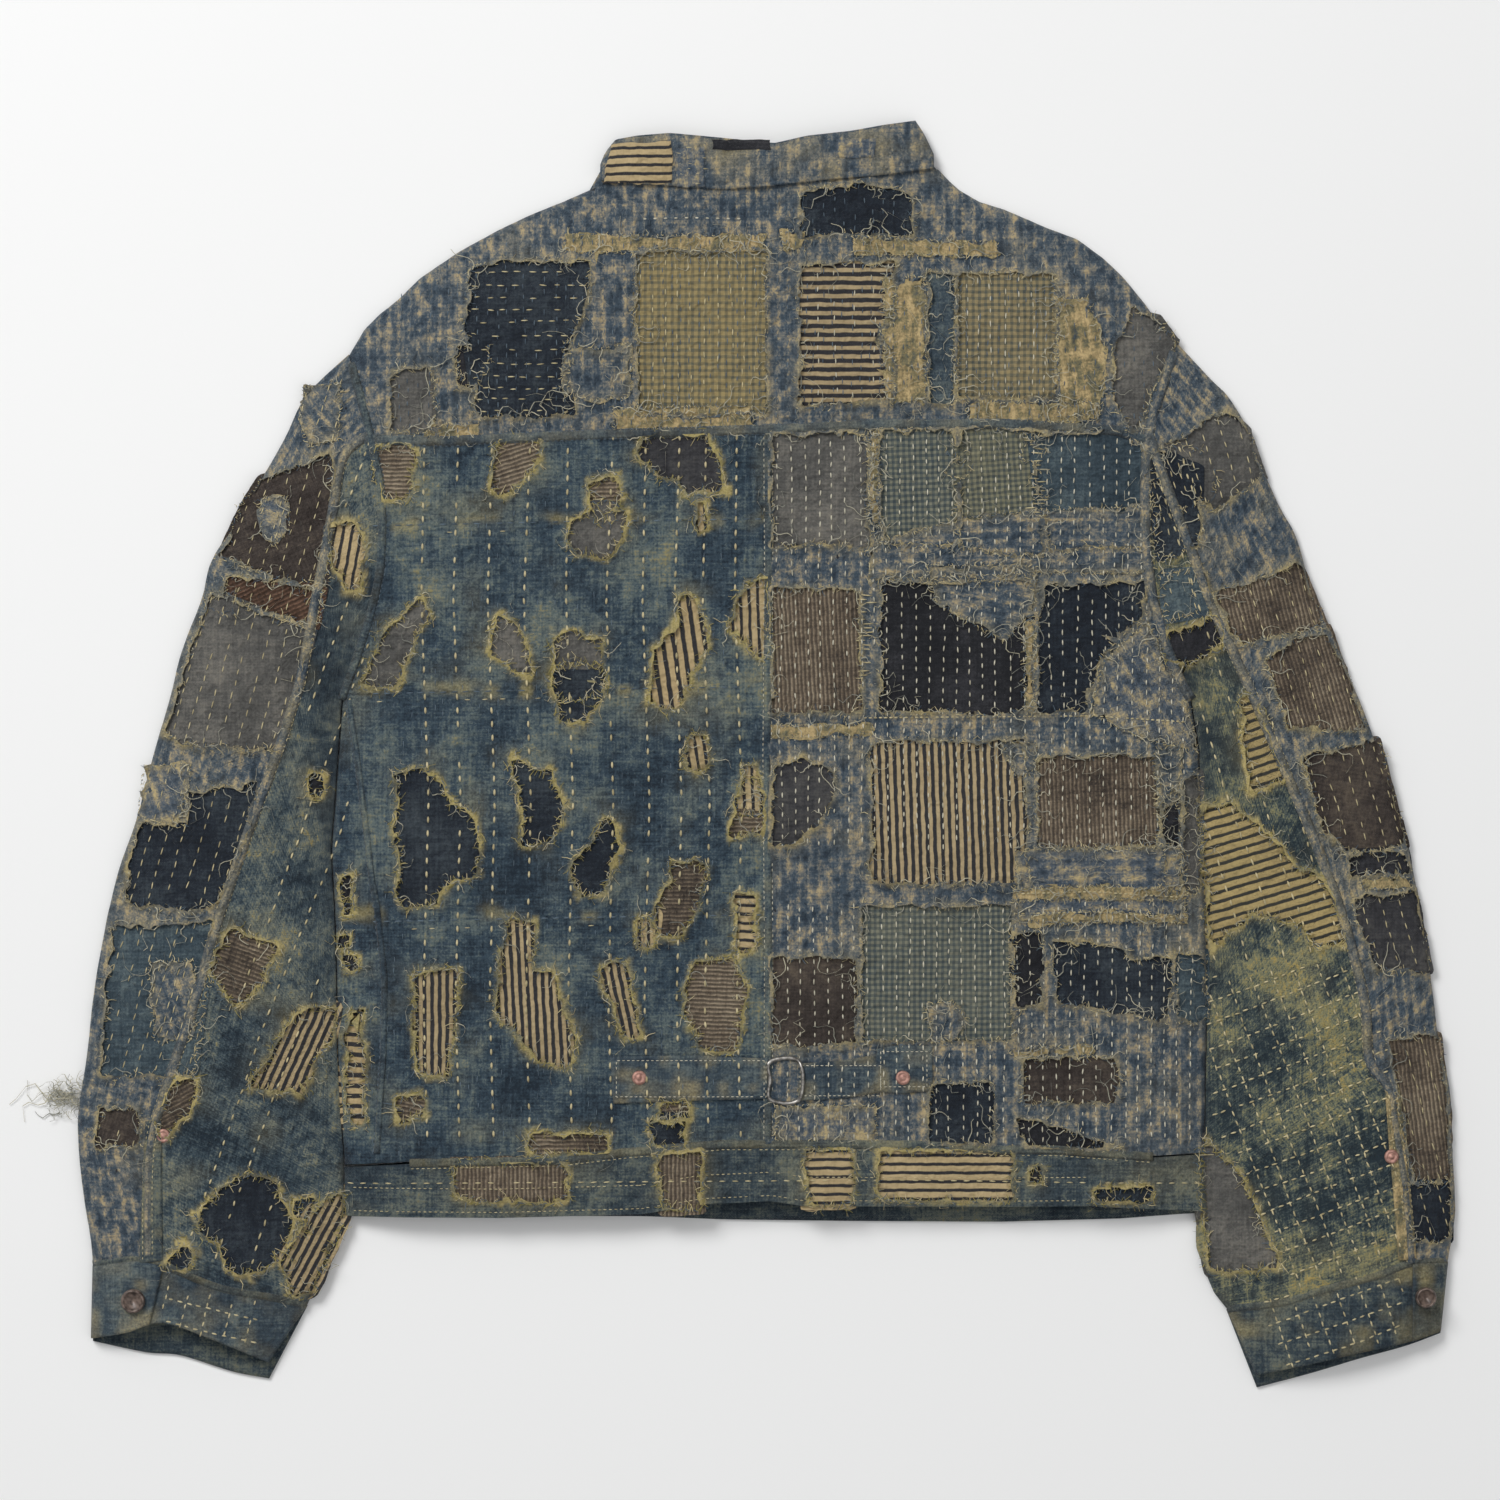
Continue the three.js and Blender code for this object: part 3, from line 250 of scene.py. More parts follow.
belowArm = lambda table: [p for p in table if p[1] <= 34.4][::-1]
closedEdges = [shoulderLeft, shoulderRight, sleeveOuterLeft + [(-422, -364)], sleeveOuterRight + [(420.6, -359.4)],
               belowArm(sideLeft) + sleeveTailLeft + [(-311, -389)],
               belowArm(sideRight) + sleeveTailRight + [(306, -395)]]

# folds: from, to, height, half width, all in mm
folds = [((-205, 150), (-120, -90), 1.6, 17), ((-60, 175), (-90, -160), -1.8, 20), ((70, 180), (95, -180), 1.4, 22),
         ((180, 120), (215, -150), -1.6, 18), ((-230, -60), (-60, -110), 1.3, 14), ((40, -40), (220, -70), 1.2, 14),
         ((-170, 290), (-60, 240), 1.4, 16), ((60, 250), (190, 290), 1.3, 16), ((-352, 60), (-285, 20), 2.2, 12),
         ((-375, -60), (-290, -100), -1.8, 13), ((-395, -140), (-300, -180), 2, 14),
         ((-400, -230), (-290, -265), -1.5, 12), ((280, 30), (350, 60), 2.2, 12), ((290, -90), (385, -60), -1.8, 13),
         ((290, -190), (400, -150), 2, 14), ((290, -270), (400, -245), -1.5, 12)]
smallFolds = [((-330, 95), (-268, 60), 1.5, 6), ((-372, 5), (-300, -20), -1.3, 6), ((-385, -100), (-290, -125), 1.4, 7),
              ((-275, 38), (-292, -10), 1.5, 5), ((-272, 40), (-310, 40), -1.2, 6),
              ((-412, -200), (-330, -225), 1.2, 6),
              ((272, 40), (330, 20), 1.4, 6), ((275, 20), (318, -25), -1.4, 7), ((300, -60), (392, -110), 1.3, 7),
              ((295, -140), (375, -120), 1.2, 6), ((300, -235), (395, -215), 1.2, 6),
              ((-255, 195), (-290, 150), 1.2, 6),
              ((-235, 120), (-180, 60), -1.1, 8), ((232, 130), (190, 60), -1.1, 8), ((-20, 195), (-35, -230), 0.9, 8),
              ((-150, -120), (-60, -170), 1.1, 8), ((60, -120), (180, -150), 1.1, 8), ((-200, 20), (-120, 0), 0.9, 7),
              ((-240, -150), (-180, -230), 1.0, 7), ((120, 60), (200, 40), 0.9, 8), ((-190, 250), (-210, 205), 1.0, 7)]


# how high the cloth lies, in mm: the rim's own height, the rounded lip, and the air inside
loftSettings = dict(rim=1.7, lip=3.2, lipWidth=4, loft=10, loftWidth=60, neckFrom=300, neckReach=60, neckLoss=0.25)


def heightAt(x, y):
    c = loftSettings
    d = np.full(np.shape(x), 1e9)
    for edge in closedEdges:
        d = np.minimum(d, lineDistance(x, y, edge))
    rise = np.clip(d / c["loftWidth"], 0, 1)
    loft = c["loft"] * (1 - (1 - rise) ** 2)
    nearNeck = np.clip((y - c["neckFrom"]) / c["neckReach"], 0, 1)
    loft = loft * np.where(y > c["neckFrom"], 1 - c["neckLoss"] * nearNeck, 1)
    lip = np.sqrt(1 - (1 - np.clip(d / c["lipWidth"], 0, 1)) ** 2)
    z = c["rim"] + c["lip"] * lip + loft
    for creases, reach in ((folds, 30), (smallFolds, 15)):
        keep = np.clip(d / reach, 0, 1)
        for a, b, h, w in creases:
            z = z + keep * h * np.exp(-(lineDistance(x, y, [a, b]) / w) ** 2)
    soft = np.clip(d / 12, 0.15, 1)
    return z + soft * (0.9 * ripple(x, y, 34, 1) + 0.5 * ripple(x, y, 15, 2) + 0.28 * ripple(x, y, 7, 3)
                       + 0.12 * ripple(x, y, 3, 4))


# map of the cloth's top, in 1 mm cells, that every layer adds itself to
mapX = np.arange(-450, 451, 1.0)
mapY = np.arange(-402, 403, 1.0)
gridX, gridY = np.meshgrid(mapX, mapY, indexing="ij")
coarse = heightAt(gridX[::2, ::2], gridY[::2, ::2])
topMap = np.zeros(gridX.shape)
topMap[::2, ::2] = coarse
topMap[1::2, ::2] = (coarse[:-1] + coarse[1:]) / 2
topMap[:, 1::2] = (topMap[:, :-1:2] + topMap[:, 2::2]) / 2
print("cloth heights mapped")


def mapAt(x, y, source=None):
    source = topMap if source is None else source
    gx = np.clip(np.asarray(x) - mapX[0], 0, len(mapX) - 1.001)
    gy = np.clip(np.asarray(y) - mapY[0], 0, len(mapY) - 1.001)
    ix, iy = gx.astype(int), gy.astype(int)
    fx, fy = gx - ix, gy - iy
    return ((source[ix, iy] * (1 - fx) + source[ix + 1, iy] * fx) * (1 - fy)
            + (source[ix, iy + 1] * (1 - fx) + source[ix + 1, iy + 1] * fx) * fy)


def mapWindow(low, high):
    first = np.maximum((low - [mapX[0], mapY[0]]).astype(int), 0)
    last = (high - [mapX[0], mapY[0]]).astype(int) + 1
    return slice(first[0], last[0]), slice(first[1], last[1])


def softened(a, reach=3):
    for axis in (0, 1):
        pad = np.concatenate([np.repeat(np.take(a, [0], axis), reach + 1, axis), a,
                              np.repeat(np.take(a, [-1], axis), reach, axis)], axis)
        total = np.cumsum(pad, axis)
        n = 2 * reach + 1
        size = total.shape[axis]
        a = (np.take(total, range(n, size), axis) - np.take(total, range(size - n), axis)) / n
    return a


# cloth colours and weaves: pattern sizes in mm, colours in sRGB hex
def toLinear(code):
    parts = [int(code[i:i + 2], 16) / 255 for i in (1, 3, 5)]
    return [c / 12.92 if c <= 0.04045 else ((c + 0.055) / 1.055) ** 2.4 for c in parts] + [1.0]


def addNode(tree, kind, links=None, inputs=None, **settings):
    node = tree.nodes.new(kind)
    for key, value in settings.items():
        setattr(node, key, value)
    for key, value in (inputs or {}).items():
        node.inputs[key].default_value = value
    for key, source in (links or {}).items():
        tree.links.new(source, node.inputs[key])
    return node


def noise(tree, vector, scale, detail=2.0, roughness=0.5, distortion=0.0, output="Fac"):
    inputs = {"Scale": scale, "Detail": detail, "Roughness": roughness, "Distortion": distortion}
    return addNode(tree, "ShaderNodeTexNoise", {"Vector": vector}, inputs).outputs[output]


def mapped(tree, vector, scale):
    return addNode(tree, "ShaderNodeMapping", {"Vector": vector}, {"Scale": scale}).outputs["Vector"]


def attributeOf(tree, name):
    return addNode(tree, "ShaderNodeAttribute", attribute_name=name, attribute_type="GEOMETRY").outputs["Fac"]


def objectPlace(tree):
    return addNode(tree, "ShaderNodeTexCoord").outputs["Object"]


def startMaterial(name):
    mat = bpy.data.materials.new(name)
    mat.use_nodes = True
    mat.node_tree.nodes.clear()
    materials[name] = mat
    return mat.node_tree


def endMaterial(tree, links, inputs):
    body = addNode(tree, "ShaderNodeBsdfPrincipled", links, inputs)
    addNode(tree, "ShaderNodeOutputMaterial", {"Surface": body.outputs["BSDF"]})


def bumpOf(tree, height, strength, distance, normal=None):
    links = {"Height": height} if normal is None else {"Height": height, "Normal": normal}
    return addNode(tree, "ShaderNodeBump", links, {"Strength": strength, "Distance": distance}).outputs["Normal"]


def ramp(tree, value, stops):
    node = addNode(tree, "ShaderNodeValToRGB", {"Fac": value})
    bar = node.color_ramp
    while len(bar.elements) < len(stops):
        bar.elements.new(0.5)
    for element, (place, colour) in zip(bar.elements, stops):
        element.position = place
        element.color = toLinear(colour) if isinstance(colour, str) else (colour, colour, colour, 1)
    return node.outputs["Color"]


def blend(tree, amount, first, second):
    node = tree.nodes.new("ShaderNodeMix")
    node.data_type = "RGBA"
    for key, value in ((0, amount), (6, first), (7, second)):
        if hasattr(value, "links"):
            tree.links.new(value, node.inputs[key])
        else:
            node.inputs[key].default_value = toLinear(value) if isinstance(value, str) else value
    return node.outputs[2]


def number(tree, operation, a, b=0.0, c=0.0):
    node = addNode(tree, "ShaderNodeMath", operation=operation)
    for key, value in ((0, a), (1, b), (2, c)):
        if hasattr(value, "links"):
            tree.links.new(value, node.inputs[key])
        else:
            node.inputs[key].default_value = value
    return node.outputs[0]


clothTable = [
    # name, kind, colours dark to light, sun-bleached tone, thread pitch in mm, fading, and by kind:
    # halo at the holes, pitch of the pattern in mm and the dark share of it, amount of pale figure
    ("wornIndigo", "plain", "#202c37", "#394955", "#66716e", "#938a62", 1.6, 0.9, dict(halo="#9a8f55")),
    ("sleeveIndigo", "plain", "#212d37", "#404e56", "#72786f", "#9c8c57", 1.6, 1.0, dict(halo="#b5a568")),
    ("oliveIndigo", "plain", "#263239", "#485353", "#828265", "#a8955c", 1.6, 1.15, dict(halo="#b5a568")),
    ("bandIndigo", "plain", "#232e37", "#3c484f", "#6a7067", "#817a57", 1.6, 0.9, dict(halo="#9c8f5a")),
    ("navyCloth", "plain", "#151a22", "#232a33", "#3e464c", "#5a6064", 1.4, 0.55, dict()),
    ("blackCloth", "plain", "#17181d", "#242529", "#3b3b3f", "#4d4c4c", 1.4, 0.5, dict()),
    ("charcoalCloth", "plain", "#29292c", "#3a3a3d", "#535250", "#66635d", 1.5, 0.6, dict()),
    ("greyCloth", "plain", "#434341", "#595855", "#75726b", "#8a8270", 1.6, 0.7, dict()),
    ("tealCloth", "plain", "#29363f", "#404e56", "#616e70", "#86887a", 1.6, 0.7, dict()),
    ("blueCloth", "plain", "#28343f", "#3f4c55", "#66706f", "#968c6a", 1.6, 0.8, dict()),
    ("darkBrown", "plain", "#2a2421", "#403935", "#5f554a", "#6b5f4e", 1.5, 0.6, dict()),
    ("brownRib", "rib", "#3a332e", "#857663", "#b1a188", "#b3a288", 1.5, 0.6, dict(pitch=2.6)),
    ("redBrown", "rib", "#37291f", "#745848", "#9a7f68", "#a08a70", 1.5, 0.6, dict(pitch=2.6)),
    ("creamStripe", "stripe", "#24252c", "#a48f69", "#c6b188", "#c6b188", 1.5, 0.35, dict(pitch=5.4, share=0.36)),
    ("tightStripe", "stripe", "#24262e", "#9a8766", "#bfab85", "#bfab85", 1.5, 0.35, dict(pitch=4.7, share=0.5)),
    ("oliveCheck", "check", "#40484a", "#66685a", "#8a866c", "#8a866c", 1.5, 0.6, dict(pitch=3.4, share=0.5)),
    ("oliveStripe", "stripe", "#2f302d", "#8f7f59", "#baa571", "#baa571", 1.5, 0.35, dict(pitch=5.6, share=0.36)),
    ("navyStripe", "stripe", "#24252d", "#9a8766", "#bda984", "#bda984", 1.5, 0.35, dict(pitch=5.4, share=0.52)),
    ("wideStripe", "stripe", "#24252c", "#a38d66", "#c4ae84", "#c4ae84", 1.5, 0.35, dict(pitch=6.4, share=0.45)),
    ("fineStripe", "stripe", "#2a2a2f", "#887b60", "#a6987a", "#a6987a", 1.4, 0.4, dict(pitch=3.2, share=0.55)),
    ("tanCheck", "check", "#4f554f", "#7b7257", "#a08f62", "#a08f62", 1.6, 0.6, dict(pitch=4.2, share=0.42)),
    ("smallCheck", "check", "#49504c", "#777059", "#9f8f68", "#9f8f68", 1.4, 0.6, dict(pitch=4.0, share=0.45)),
    ("greenPlaid", "check", "#3b464c", "#5c625c", "#858471", "#858471", 1.5, 0.6, dict(pitch=3.5, share=0.5)),
    ("kasuri", "kasuri", "#2c3742", "#485560", "#b09f7c", "#b09f7c", 1.7, 0.6, dict(mid="#777771", amount=0.4)),
    ("paleKasuri", "kasuri", "#343f4a", "#515c67", "#b8a67c", "#b8a67c", 1.7, 0.5, dict(mid="#827f74", amount=0.44)),
    ("creamCloth", "kasuri", "#454d50", "#787256", "#c8b081", "#c8b081", 1.7, 0.4, dict(mid="#a39068", amount=0.5)),
    ("lining", "plain", "#191b21", "#26292f", "#35373c", "#45464a", 1.6, 0.3, dict()),
]
clothKeys = ("kind", "dark", "base", "light", "tan", "thread", "fade")
clothSettings = {row[0]: dict(zip(clothKeys, row[1:8]), **row[8]) for row in clothTable}
materials = {}


def weaveMaterial(name, s):
    # woven cotton: matt, with thread bumps, slubs, faded patches and a soft sheen at a low angle
    tree = startMaterial(name)

    def add(a, b):
        return number(tree, "ADD", a, b)

    def times(a, b):
        return number(tree, "MULTIPLY", a, b)

    def timesAdd(a, b, c):
        return number(tree, "MULTIPLY_ADD", a, b, c)

    def repeat(axis, pitch, shift=None):
        step = number(tree, "DIVIDE", axis, pitch)
        return number(tree, "FRACT", step if shift is None else timesAdd(*shift, step))

    grain = addNode(tree, "ShaderNodeUVMap", uv_map="grain").outputs["UV"]
    place = objectPlace(tree)
    mm = mapped(tree, grain, (100, 100, 100))
    wobble = noise(tree, mm, 0.12, output="Color")
    bent = addNode(tree, "ShaderNodeVectorMath", {0: wobble, 2: mm}, {1: (1.6, 1.6, 0)}, operation="MULTIPLY_ADD")
    split = addNode(tree, "ShaderNodeSeparateXYZ", {"Vector": bent.outputs[0]})
    x, y = split.outputs["X"], split.outputs["Y"]
    # fading over hand-sized areas, and thread-by-thread differences both ways
    fade = noise(tree, place, 22.0, 5.0, 0.62)
    warp = noise(tree, mapped(tree, mm, (0.62, 0.035, 1)), 1.0)
    weft = noise(tree, mapped(tree, mm, (0.035, 0.62, 1)), 1.0)
    threads = add(times(warp, 0.5), times(weft, 0.5))
    speck = noise(tree, mm, 0.75, 2.0, 0.7)
    crumple = noise(tree, place, 170.0, 4.0, 0.62)
    shade = add(times(fade, 0.46), add(times(threads, 0.3), times(speck, 0.24)))
    # the high points of the crumpled cloth are rubbed paler, and sharp creases show as thin pale lines
    shade = add(shade, timesAdd(crumple, 0.24, -0.12))
    veins = noise(tree, place, 26.0, 5.0, 0.6, 0.5)
    crease = ramp(tree, number(tree, "ABSOLUTE", number(tree, "SUBTRACT", veins, 0.5)), [(0.0, 1.0), (0.012, 0.0)])
    crease = times(crease, ramp(tree, fade, [(0.42, 0.0), (0.6, 1.0)]))
    shade = timesAdd(crease, 0.07 if s["fade"] > 0.9 else 0.02, shade)
    reach = 0.11 * (1.6 - s["fade"])
    plain = ramp(tree, shade, [(0.485 - reach, s["dark"]), (0.49, s["base"]), (0.5 + reach, s["light"]),
                               (0.56 + 1.4 * reach, s["tan"])])
    colour = plain
    if s["kind"] == "stripe":
        edges = [(0.0, 0.0), (s["share"] - 0.07, 0.0), (s["share"] + 0.03, 1.0), (0.94, 1.0), (1.0, 0.0)]
        pale = ramp(tree, shade, [(0.3, s["base"]), (0.65, s["light"])])
        dark = blend(tree, times(speck, 0.25), s["dark"], "#6a6558")
        colour = blend(tree, ramp(tree, repeat(x, s["pitch"]), edges), dark, pale)
    elif s["kind"] == "check":
        edges = [(0.0, 0.0), (s["share"] - 0.05, 0.0), (s["share"] + 0.03, 1.0), (0.96, 1.0), (1.0, 0.0)]
        a, b = [ramp(tree, repeat(axis, s["pitch"]), edges) for axis in (x, y)]
        tint = ramp(tree, add(times(a, 0.5), times(b, 0.5)), [(0.0, s["dark"]), (0.5, s["base"]), (1.0, s["light"])])
        colour = blend(tree, times(fade, 0.5), tint, plain)
    elif s["kind"] == "rib":
        bars = ramp(tree, repeat(x, s["pitch"]), [(0.0, 0.15), (0.35, 1.0), (0.7, 0.3), (1.0, 0.15)])
        colour = blend(tree, bars, s["dark"], plain)
    elif s["kind"] == "kasuri":
        # threads dyed before weaving, so the figures break up along the threads
        lump = noise(tree, mapped(tree, mm, (0.1, 0.075, 1)), 1.0, 5.0, 0.68)
        across = ramp(tree, repeat(x, 6.4, (speck, 0.5)), [(0.25, 0.0), (0.4, 1.0), (0.62, 1.0), (0.8, 0.0)])
        upward = ramp(tree, repeat(y, 5.2, (warp, 3.0)), [(0.1, 0.25), (0.35, 1.0), (0.7, 1.0), (0.95, 0.25)])
        mixShade = add(timesAdd(lump, 0.66, times(times(across, upward), 0.062)),
                       add(times(threads, 0.22), times(speck, 0.18)))
        edge = 0.62 - 0.2 * s["amount"]
        colour = ramp(tree, mixShade, [(edge - 0.11, s["dark"]), (edge - 0.015, s["base"]), (edge + 0.05, s["mid"]),
                                       (edge + 0.125, s["light"])])
    # the wear attribute: bleached towards torn edges, then rubbed to bare threads
    rough = timesAdd(speck, 0.9, -0.28)
    broken = ramp(tree, veins, [(0.38, 0.45), (0.6, 1.35)])
    worn = times(times(attributeOf(tree, "wear"), broken), add(0.62, rough))
    wornFac = addNode(tree, "ShaderNodeClamp", {"Value": worn}).outputs[0]
    haloShade = ramp(tree, speck, [(0.3, s.get("halo", "#8f8465")), (0.72, "#b8a878")])
    colour = blend(tree, wornFac, colour, haloShade)
    # thread relief, coarser than the real 0.4 mm threads so that it shows at this distance
    up, over = [number(tree, "SINE", times(axis, 2 * math.pi / s["thread"])) for axis in (x, y)]
    relief = add(times(times(up, over), 0.35), times(threads, 2.2))
    if s["kind"] == "rib":
        relief = add(relief, times(bars, 2.0))
    normal = bumpOf(tree, relief, 0.7, 0.0004, bumpOf(tree, crumple, 1.0, 0.0044))
    endMaterial(tree, {"Base Color": colour, "Normal": normal},
                {"Roughness": 0.92, "Sheen Weight": 0.12, "Sheen Roughness": 0.5, "Specular IOR Level": 0.2})


for name, settings in clothSettings.items():
    weaveMaterial(name, settings)


def threadMaterial(name, low, high):
    # spun cotton yarn, its shade set strand by strand
    tree = startMaterial(name)
    ply = noise(tree, objectPlace(tree), 900.0, 1.0)
    shade = number(tree, "MULTIPLY", attributeOf(tree, "shade"), 0.75)
    colour = ramp(tree, number(tree, "MULTIPLY_ADD", ply, 0.3, shade), [(0.1, low), (0.9, high)])
    endMaterial(tree, {"Base Color": colour, "Normal": bumpOf(tree, ply, 0.4, 0.0002)},
                {"Roughness": 0.8, "Sheen Weight": 0.15, "Specular IOR Level": 0.25})


for name, low, high in (("creamThread", "#8f8360", "#d5c79d"), ("blueThread", "#2f3d4b", "#667682"),
                        ("greenThread", "#6f6a3c", "#b0a264"), ("paleThread", "#6b6f6c", "#c2bca4"),
                        ("whiteThread", "#a8a28c", "#ddd7c2")):
    threadMaterial(name, low, high)


def metalMaterial(name, dark, light, roughness, metallic):
    # struck metal, rubbed bright on its high places
    tree = startMaterial(name)
    stain = noise(tree, objectPlace(tree), 420.0, 4.0)
    gloss = number(tree, "MULTIPLY_ADD", stain, 0.25, roughness - 0.12)
    endMaterial(tree, {"Base Color": ramp(tree, stain, [(0.35, dark), (0.65, light)]), "Roughness": gloss,
                       "Normal": bumpOf(tree, stain, 0.2, 0.0002)}, {"Metallic": metallic})


metalMaterial("copperRivet", "#8f6a5f", "#c79b8d", 0.55, 0.6)
metalMaterial("hornButton", "#3f342f", "#7c6b61", 0.38, 0.1)
metalMaterial("steelSlide", "#6d6a66", "#b9b5ae", 0.35, 0.9)
print("cloths mixed:", len(materials))


def finishMesh(name, bm, slots):
    mesh = bpy.data.meshes.new(name)
    bm.to_mesh(mesh)
    bm.free()
    mesh.polygons.foreach_set("use_smooth", [True] * len(mesh.polygons))
    for slot in slots:
        mesh.materials.append(materials[slot])
    obj = bpy.data.objects.new(name, mesh)
    scene.collection.objects.link(obj)
    return obj


layerMap = np.zeros(gridX.shape)    # how much cloth has been laid on the base so far, in mm


def addSheet(bm, place, nu, nv, height, slot=0, wear=None, keep=None, down=False):
    # one sheet of cloth: place gives x, y and the grain for shares u, v; height gives z; cloth stays where keep > 0
    uv = bm.loops.layers.uv.get("grain") or bm.loops.layers.uv.new("grain")
    wearLayer = bm.verts.layers.float.get("wear") or bm.verts.layers.float.new("wear")
    made = bmesh.ops.create_grid(bm, x_segments=nu, y_segments=nv, size=1.0)["verts"]
    u = np.array([(v.co.x + 1) / 2 for v in made])
    v = np.array([(v.co.y + 1) / 2 for v in made])
    p, grain = place(u, v)
    x, y = p[:, 0].copy(), p[:, 1].copy()
    inside = near = np.ones(len(made), bool)
    if keep is not None:
        depth = keep(x, y)
        stepX = (keep(x + 0.3, y) - depth) / 0.3
        stepY = (keep(x, y + 0.3) - depth) / 0.3
        size = np.maximum(np.hypot(stepX, stepY), 0.3)
        spacing = math.sqrt(abs(np.ptp(x) * np.ptp(y)) / (nu * nv))
        move = np.where((depth < 0) & (depth > -1.6 * spacing), -depth / size, 0)
        x += move * stepX / size
        y += move * stepY / size
        inside, near = depth >= 0, depth > -1.6 * spacing
    grain = grain + np.stack([x - p[:, 0], y - p[:, 1]], -1)
    world = toFrame(np.stack([x, y, height(x, y)], -1))
    values = np.clip(wear(x, y), 0, 1.5) if wear is not None else np.zeros(len(made))
    index = {}
    for k, vert in enumerate(made):
        vert.co = world[k]
        vert[wearLayer] = float(values[k])
        index[vert] = k
    faces = list({f for vert in made for f in vert.link_faces})
    drop, kept = [], []
    for f in faces:
        ks = [index[vert] for vert in f.verts]
        if not any(inside[k] for k in ks) or not all(near[k] for k in ks):
            drop.append(f)
            continue
        f.material_index = slot
        kept.append(f)
        for loop in f.loops:
            k = index[loop.vert]
            loop[uv].uv = (grain[k][0] / 100, grain[k][1] / 100)
    for f in kept:
        f.normal_update()
    wrong = [f for f in kept if (f.normal.z < 0) != down]
    if wrong:
        bmesh.ops.reverse_faces(bm, faces=wrong)
    if drop:
        bmesh.ops.delete(bm, geom=drop, context="FACES")


def clothPiece(name, bm, slots, thickness):
    loose = [v for v in bm.verts if not v.link_faces]
    bmesh.ops.delete(bm, geom=loose, context="VERTS")
    obj = finishMesh(name, bm, slots)
    if thickness:
        wall = obj.modifiers.new("cloth thickness", "SOLIDIFY")
        wall.thickness = thickness / 1000
        wall.offset = -1
    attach(obj, "root")
    return obj


# where each panel's points lie, for shares u across and v along
def bodyPlace(side):
    edge, first, last = (sideLeft, -255.5, 195.5) if side < 0 else (sideRight, -247.8, 195.9)

    def place(u, v):
        yEdge = first + (last - first) * v
        xEdge = sideAt(edge, yEdge)
        x = xEdge + (0.4 - xEdge) * u
        y = yEdge + (1 - v) * (at(waistSeam, x) - at(waistSeam, xEdge)) + v * (at(yokeSeam, x) - at(yokeSeam, xEdge))
        return np.stack([x, y], -1), np.stack([x, y], -1)
    return place


topLine = shoulderLeft + neckLine[1:-1] + shoulderRight


def yokePlace(u, v):
    x0, x1 = -246 + 482 * u, -260.6 + 516.2 * u
    y0, y1 = at(yokeSeam, x0) + 0.5, at(topLine, x1)
    x, y = x0 + (x1 - x0) * v, y0 + (y1 - y0) * v
    fixLeft = (sideAt(sideLeft, y) - (-246 - 14.6 * v)) * (1 - u) ** 8
    fixRight = (sideAt(sideRight, y) - (236 + 19.6 * v)) * u ** 8
    x = x + fixLeft + fixRight
    return np.stack([x, y], -1), np.stack([x, y], -1)


class sleevePanel:
    # a panel between two long lines, from the armhole to the cuff seam
    def __init__(self, side, near, far, start, end):
        self.side, self.near, self.far, self.start, self.end = side, near, far, start, end

    def __call__(self, u, v):
        def across(w):
            a, b = along(self.near, w), along(self.far, w)
            return a + (b - a) * u[:, None]
        p = across(v)
        zero = np.zeros_like(v)
        p = p + ((1 - v) ** 12)[:, None] * (along(self.start, u) - across(zero))
        p = p + (v ** 12)[:, None] * (along(self.end, u) - across(zero + 1))
        body = sideAt(sideLeft if self.side < 0 else sideRight, p[:, 1])
        limit = np.minimum(p[:, 0], body - 0.4) if self.side < 0 else np.maximum(p[:, 0], body + 0.4)
        p[:, 0] = np.where(p[:, 1] > -284, limit, p[:, 0])
        width = np.hypot(*(along(self.near, v) - along(self.far, v)).T)
        length = lineLength(np.asarray(self.near, float))
        return p, np.stack([self.side * width * u, -length * v], -1)


def sleevePlaces(side):
    lines = ((sleeveOuterLeft, sleeveTailLeft, sleeveSeamLeft, cuffSeamLeft, sideLeft) if side < 0 else
             (sleeveOuterRight, sleeveTailRight, sleeveSeamRight, cuffSeamRight, sideRight))
    outer, tail, seam, cuff, body = lines
    armhole = np.array([(sideAt(body, y), y) for y in np.linspace(outer[0][1], 34.4, 40)])
    arm = armhole + [side * 0.4, 0]
    inner = np.array([(sideAt(body, y) + side * 0.4, y) for y in np.linspace(34.4, -280, 40)] + [list(p) for p in tail])
    split = int(np.argmin(abs(armhole[:, 1] - 198)))
    cuffLine = rounded(cuff)
    cut = int(np.argmin(np.hypot(*(cuffLine - seam[-1]).T)))
    seamLine = rounded([tuple(arm[split])] + seam[1:-1] + [tuple(cuffLine[cut])])
    outerLine = rounded(outer)
    hidden = rounded([tuple(arm[24]), (side * 320, -73), tuple(cuffLine[len(cuffLine) // 2])])
    half = len(cuffLine) // 2
    return dict(outerTop=sleevePanel(side, outerLine, seamLine, arm[:split + 1], cuffLine[:cut + 1]),
                underTop=sleevePanel(side, seamLine, inner, arm[split:], cuffLine[cut:]),
                outerLow=sleevePanel(side, outerLine, hidden, arm[:25], cuffLine[:half + 1]),
                underLow=sleevePanel(side, hidden, inner, arm[24:], cuffLine[half:]),
                seam=seamLine, outer=outerLine, inner=inner, arm=arm, cuff=cuffLine)


sleeveLeft, sleeveRight = sleevePlaces(-1), sleevePlaces(1)


def bandPlace(hem):
    def place(u, v):
        y = -250 - 33 * (1 - v)
        x0, x1 = sideAt(sideLeft, y), sideAt(sideRight, y)
        x = x0 + (x1 - x0) * u
        y = at(hem, x) + (at(waistSeam, x) - 0.5 - at(hem, x)) * v
        return np.stack([x, y], -1), np.stack([x, y], -1)
    return place


